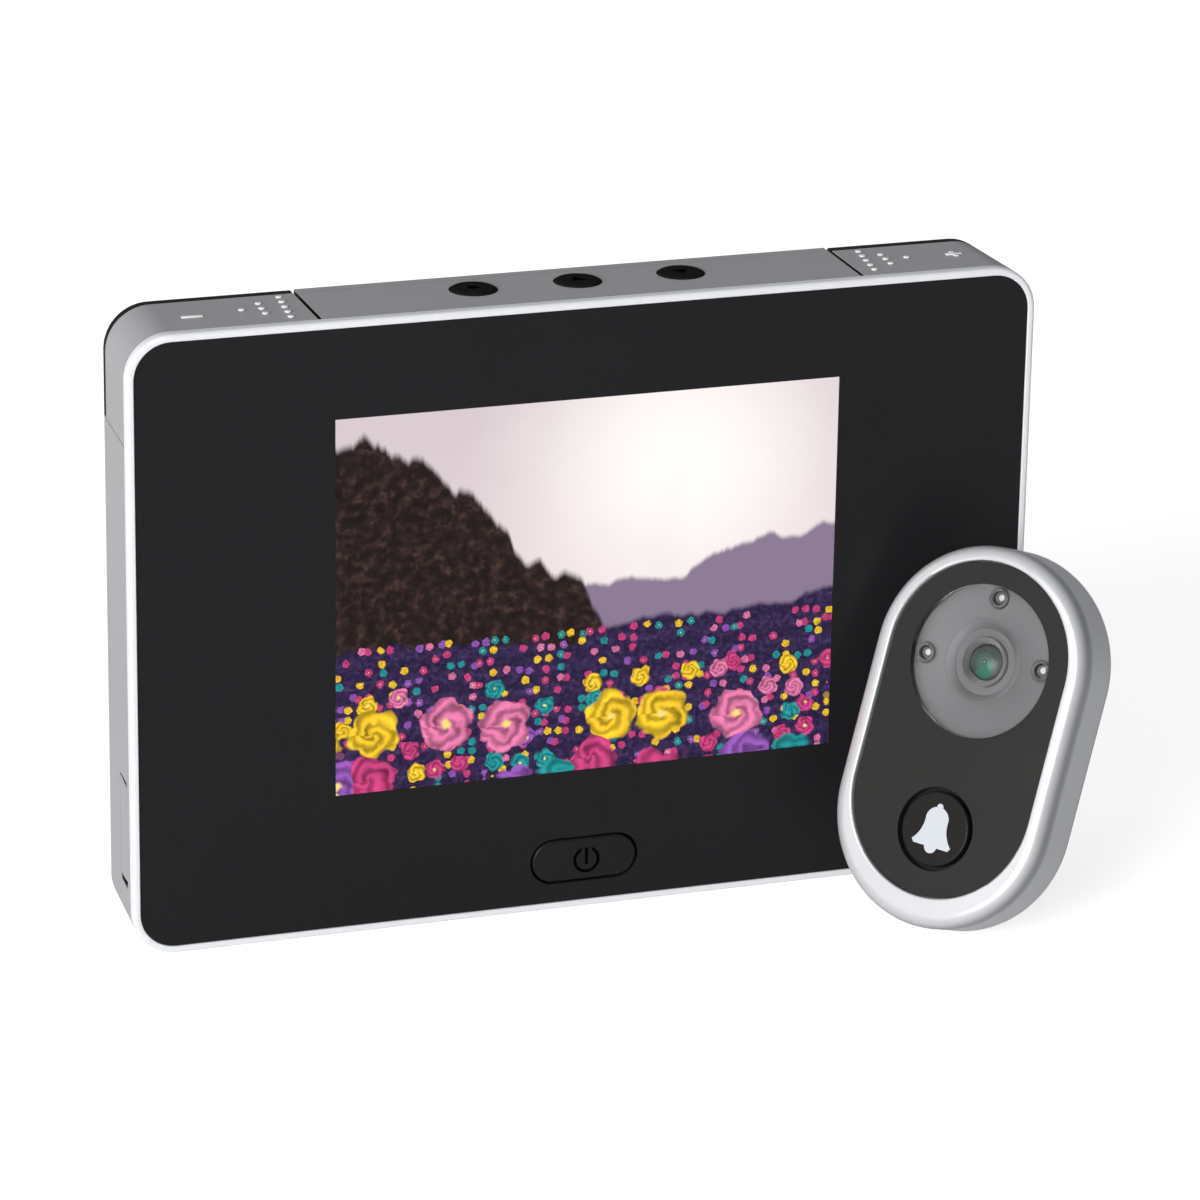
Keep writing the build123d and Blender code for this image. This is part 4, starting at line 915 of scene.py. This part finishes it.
# Camera behind the round window. Heights are in front of the unit's panel, places are from its middle
cameraHead = {
    "middle": (0, 10.55), "baffleRadius": 10.5, "baffleFront": -1.25, "baffleBack": -1.9,
    "dishRadius": 5.6, "dishDepth": 0.6, "holeRadius": 4.5, "overlap": 0.1, "cutPast": 0.2,
    "lampCircle": 8.8, "lampTurn": 6.0, "lampHole": 1.25, "lampSink": 1.6, "sinkDepth": 0.3,
    "barrelRadius": 3.4, "barrelFront": -1.35, "barrelBack": -4.55, "barrelEdge": 0.15,
    "barrelSteps": 3, "stepsFrom": 0.35, "stepsTo": 0.06,
    "lensRadius": 2.5, "lensSeat": -3.45, "lensEdge": -2.35, "lensFront": -1.65, "lensGap": 0.02,
    "domeRings": 12,
    "collarInner": 1.03, "collarFront": -1.15, "lampEdge": 0.1,
    "cupRadius": 0.86, "cupBack": -3.4, "cupFront": -2.05,
    # small white disc in each lamp that gives its painted glint
    "glintRadius": 0.42, "glintRise": 0.42, "glintPlace": (0.12, 0.1), "glintRound": 0.1,
}
lampPlaces = []
for degrees in (180.0 + cameraHead["lampTurn"], 90.0, cameraHead["lampTurn"]):
    way = Vector((math.cos(math.radians(degrees)), math.sin(math.radians(degrees))))
    lampPlaces.append(Vector(cameraHead["middle"]) + cameraHead["lampCircle"] * way)


def ontoLensAxis(piece):
    piece.location.y += cameraHead["middle"][1] * mm


def makeBaffle():
    spec = cameraHead
    front, back, past = spec["baffleFront"], spec["baffleBack"], spec["cutPast"]
    narrow, wide, sinkDepth = spec["lampHole"], spec["lampSink"], spec["sinkDepth"]
    baffle = turnPiece("baffleRing", [
        (spec["baffleRadius"], back), (spec["baffleRadius"], front), (spec["dishRadius"], front),
        (spec["holeRadius"] - spec["overlap"], front - spec["dishDepth"]),
    ], sides=128)
    ontoLensAxis(baffle)
    # the cutters go past both faces, and the sink keeps its slope there
    sinkReach = narrow + (wide - narrow) * (1 + past / sinkDepth)
    profile = [(narrow, back - past), (narrow, front - sinkDepth), (sinkReach, front + past)]
    lampHole = turnPiece("lampHole", profile, sides=48)
    hole = addCylinder("hole", spec["holeRadius"], back - past, front + past, spec["middle"], sides=128)
    cutWith(baffle, copyTo("lampHoles", lampHole, lampPlaces), hole)
    settle(baffle, unitMatrix, "outdoor_unit", "baffle_grey", ["window_baffle"])


def makeBarrel():
    spec = cameraHead
    front, radius, edge = spec["barrelFront"], spec["barrelRadius"], spec["barrelEdge"]
    outer = radius - spec["stepsFrom"]
    profile = [(radius, spec["barrelBack"]), (radius, front - edge), (radius - edge, front)]
    stepWidth = (outer - (spec["lensRadius"] + spec["stepsTo"])) / spec["barrelSteps"]
    stepDepth = (front - spec["lensEdge"]) / (spec["barrelSteps"] + 1)
    for step in range(spec["barrelSteps"] + 1):
        radius = outer - step * stepWidth
        profile += [(radius, front - step * stepDepth), (radius, front - (step + 1) * stepDepth)]
    seat = spec["lensRadius"] + spec["lensGap"]
    profile += [(seat, spec["lensEdge"] + meshing["near"]), (seat, spec["lensSeat"])]
    barrel = turnPiece("lensBarrelRing", profile, sides=96)
    ontoLensAxis(barrel)
    finishFaces(barrel, "holderGrey")
    settle(barrel, unitMatrix, "outdoor_unit", "black_plastic", ["lens_barrel"])


def makeLens():
    # a dome on a short cylinder: the dome is part of a sphere that its rise and its radius give
    spec = cameraHead
    radius, front, edge = spec["lensRadius"], spec["lensFront"], spec["lensEdge"]
    rise = front - edge
    ball = (radius ** 2 + rise ** 2) / (2 * rise)
    widest = math.asin(radius / ball)
    profile = [(radius, spec["lensSeat"]), (radius, edge)]
    for ring in range(1, spec["domeRings"]):
        angle = widest * (1 - ring / spec["domeRings"])
        profile.append((ball * math.sin(angle), front - ball * (1 - math.cos(angle))))
    lens = turnPiece("lensDome", profile)
    ontoLensAxis(lens)
    settle(lens, unitMatrix, "outdoor_unit", "lens_glass", ["lens"])


def makeLampDetails():
    # a collar round each lamp, and inside it a cup with a small white disc, a painted glint
    spec = cameraHead
    edge = spec["lampEdge"]
    radius, back, front = spec["lampHole"], spec["baffleBack"], spec["collarFront"]
    collar = turnPiece("collar", [(radius, back), (radius, front - edge), (radius - edge, front)], sides=48)
    cutWith(collar, addCylinder("bore", spec["collarInner"], back - 1, front + 1, sides=48))
    finishFaces(collar, "holderGrey")
    settle(copyTo("lampCollars", collar, lampPlaces), unitMatrix, "outdoor_unit", "black_plastic")
    radius, front = spec["cupRadius"], spec["cupFront"]
    profile = [(radius, spec["cupBack"]), (radius, front - edge), (radius - edge, front)]
    cup = turnPiece("cup", profile, sides=40)
    finishFaces(cup, "lampCup")
    glintFront = front + spec["glintRise"]
    chip = addCylinder("chip", spec["glintRadius"], front, glintFront, spec["glintPlace"], sides=24)
    roundEdges(chip, spec["glintRound"])
    finishFaces(chip, "lampChip")
    cups = copyTo("lampCups", joinPieces("cup", [cup, chip]), lampPlaces)
    settle(cups, unitMatrix, "outdoor_unit", "bright_steel")


makeBaffle()
makeBarrel()
makeLens()
makeLampDetails()
print("camera head made")

# Screws with a cross recess, heights measured from the face that the head is let into
screws = {
    "case": {
        "head": 1.8, "headHeight": 1.0, "top": -0.2, "shank": 0.9, "length": 8.0, "cross": 2.3, "slot": 0.5,
        "places": ((-54.0, 5.4), (54.0, 5.4), (-33.0, 80.2), (33.0, 80.2)),
    },
    "unit": {
        "head": 1.4, "headHeight": 0.8, "top": 0.0, "shank": 0.65, "length": 4.0, "cross": 1.8, "slot": 0.42,
        "places": ((-11.2, -4.5), (11.2, -4.5)),
    },
    "tipShare": 0.6, "rimDrop": 0.25, "crownDrop": 0.08, "crownShare": 0.85, "flatShare": 0.6,
}


def makeScrews(name, spec, matrix, body, replaced):
    head, height, shank = spec["head"], spec["headHeight"], spec["shank"]
    top, tip = spec["top"], spec["top"] - spec["length"]
    screw = turnPiece("screw", [
        (shank * screws["tipShare"], tip), (shank, tip + shank), (shank, top - height), (head, top - height),
        (head, top - screws["rimDrop"] * height),
        (head * screws["crownShare"], top - screws["crownDrop"] * height), (head * screws["flatShare"], top),
    ], sides=48)
    cross, slot = spec["cross"], spec["slot"]
    slots = [addBlock("slot", (*size, height), (0, 0, top)) for size in ((cross, slot), (slot, cross))]
    cutWith(screw, *slots)
    settle(copyTo(name, screw, spec["places"]), matrix, body, "bright_steel", [replaced])


makeScrews("caseScrewSet", screws["case"], backMatrix, "monitor", "case_screws")
makeScrews("unitScrewSet", screws["unit"], unitBackMatrix, "outdoor_unit", "unit_screws")

# Brass insert for the tube: thread turned into its bore, heights behind the back of the unit
insert = {
    "radius": 5.2, "low": -0.6, "high": 4.0, "bore": 4.0, "root": 4.35, "pitch": 0.75, "chamfer": 0.3,
    "groove": (0.0, 0.35, 0.7), "firstGroove": 0.25,
}


def makeInsert():
    low, high, bore, pitch = insert["low"], insert["high"], insert["bore"], insert["pitch"]
    wide = bore + insert["chamfer"]
    body = addCylinder("threadedInsertBody", insert["radius"], low, high, sides=96)
    profile = [(bore, low - 1), (bore, low)]
    for turn in range(int((high - low) / pitch)):
        foot = low + (turn + insert["firstGroove"]) * pitch
        radii = (bore, insert["root"], bore)
        profile += [(radius, foot + share * pitch) for radius, share in zip(radii, insert["groove"])]
    profile += [(bore, high - insert["chamfer"]), (wide, high), (wide, high + 1)]
    cutWith(body, turnPiece("tap", profile, sides=96))
    settle(body, unitBackMatrix, "outdoor_unit", "insert_brass", ["threaded_insert"])


makeInsert()
print("screws and insert made")

# Cells: dark jacket, copper band and bright ends. The inner cells stand nub up and the outer ones nub down
cells = {
    "radius": 5.2, "length": 43.5, "shoulder": 0.4, "nubRadius": 1.9, "nubLength": 1.0, "nubRound": 0.25,
    "ringRadius": 3.4, "ringDrop": 0.3, "dishRadius": 4.0, "dishDepth": 0.12, "dishSlope": 0.3,
    "bandShare": 0.74, "jacketLip": 0.5,
    "low": 38.5, "depth": 8.4, "places": {"inner": 45.2, "outer": 55.7},
}


def makeCell():
    spec = cells
    radius, top, shoulder, nub = spec["radius"], spec["length"], spec["shoulder"], spec["nubRadius"]
    bandFoot, nubTop, ringFoot = spec["bandShare"] * top, top + spec["nubLength"], top - spec["ringDrop"]
    cell = turnPiece("cell", [
        (spec["dishRadius"] - spec["dishSlope"], spec["dishDepth"]), (spec["dishRadius"], 0),
        (radius - shoulder, 0), (radius, shoulder), (radius, bandFoot), (radius, top - shoulder),
        (radius - shoulder, top), (spec["ringRadius"], top), (spec["ringRadius"], ringFoot), (nub, ringFoot),
        (nub, nubTop - spec["nubRound"]), (nub - spec["nubRound"], nubTop),
    ])
    finishFaces(cell, "cell_jacket")
    finishFaces(cell, "cellBand", lambda face: abs(face.normal.z) < 0.9 and face.center.z > bandFoot * mm)
    lip = (radius - spec["jacketLip"]) * mm
    finishFaces(cell, "bright_steel", lambda face: math.hypot(face.center.x, face.center.y) < lip
                and not shoulder * mm < face.center.z < (top - shoulder) * mm)
    return cell


def placeCells():
    cell = makeCell()
    whole = (cells["length"] + cells["nubLength"]) * mm
    turned = Matrix.Translation((0, 0, whole)) @ Matrix.Rotation(math.pi, 4, "X")
    for way, side in ((-1, "left"), (1, "right")):
        for row, place in cells["places"].items():
            twin = copyPiece(cell)
            twin.name = f"{side}{row.capitalize()}CellBody"
            foot = (way * place, cells["depth"], cells["low"] - monitor["top"])
            upright = Matrix.Translation(Vector(foot) * mm)
            stand = upright @ turned if row == "outer" else upright
            settle(twin, topMatrix @ stand, "monitor", "cell_jacket", [f"{side}_{row}_cell"])
    bpy.data.objects.remove(cell)


placeCells()

# Contact pins in the socket for the camera's lead, heights behind the back of the monitor
socketPins = {
    "count": 5, "pitch": 1.2, "size": 0.45, "low": -6.4, "high": -3.4, "place": (-12.0, 18.0), "tip": 0.12,
}


def makeSocketPins():
    spec = socketPins
    size, low, high = spec["size"], spec["low"], spec["high"]
    pin = addBlock("pin", (size, size, high - low), (0, 0, (low + high) / 2))
    roundEdges(pin, spec["tip"], 2)
    x, z = spec["place"]
    spread = [(x + (i - (spec["count"] - 1) / 2) * spec["pitch"], z) for i in range(spec["count"])]
    settle(copyTo("socketPins", pin, spread), backMatrix, "monitor", "bright_steel")


makeSocketPins()
print("cells and socket pins made")

# Plain floor and soft light, places and sizes in metres
studio = {
    "floorColour": (0.86, 0.86, 0.86, 1), "floorSize": 6.0, "floorLift": 0.68,
    "worldColour": (0.95, 0.97, 1.0, 1), "worldStrength": 0.3, "white": (1, 1, 1, 1),
    "lamps": {
        "leftLamp": {"place": (-1.25, 0.35, 0.3), "size": 0.8, "power": 1.5},
        "frontLamp": {"place": (-1.1, -0.95, 0.5), "size": 0.9, "power": 24.0},
    },
    "aim": (0, 0, 0.04),
}


def seenByCamera(tree):
    # 1 for what the camera sees straight or through a window
    path = addNode(tree, "ShaderNodeLightPath").outputs
    return calc(tree, "MAXIMUM", path["Is Camera Ray"], path["Is Transmission Ray"])


def makeFloor():
    clearSelection()
    bpy.ops.mesh.primitive_plane_add(size=studio["floorSize"], location=(0, 0, 0))
    floor = bpy.context.object
    floor.name = "floor"
    material, tree, shader = newMaterial("floorPaper", {
        "Base Color": studio["floorColour"], "Roughness": 0.7, "Specular IOR Level": 0.1,
        "Emission Color": studio["white"],
    })
    feed(shader, "Emission Strength", calc(tree, "MULTIPLY", seenByCamera(tree), studio["floorLift"]))
    floor.data.materials.append(material)


def makeWorld():
    world = bpy.data.worlds.new("studio")
    world.use_nodes = True
    scene.world = world
    tree = world.node_tree
    backdrop = tree.nodes["Background"]
    shown = seenByCamera(tree)
    feed(backdrop, "Color", mixColours(tree, shown, studio["worldColour"], studio["white"]))
    feed(backdrop, "Strength", mulAdd(tree, shown, 1.0 - studio["worldStrength"], studio["worldStrength"]))


def makeLamps():
    for name, lamp in studio["lamps"].items():
        light = bpy.data.lights.new(name, "AREA")
        light.shape = "DISK"
        light.size = lamp["size"]
        light.energy = lamp["power"]
        holder = newObject(name, light)
        holder.location = lamp["place"]
        aim = Vector(studio["aim"]) - Vector(lamp["place"])
        holder.rotation_euler = aim.to_track_quat("-Z", "Y").to_euler()


makeFloor()
makeWorld()
makeLamps()
scene.view_settings.view_transform = "Standard"
print("studio made")
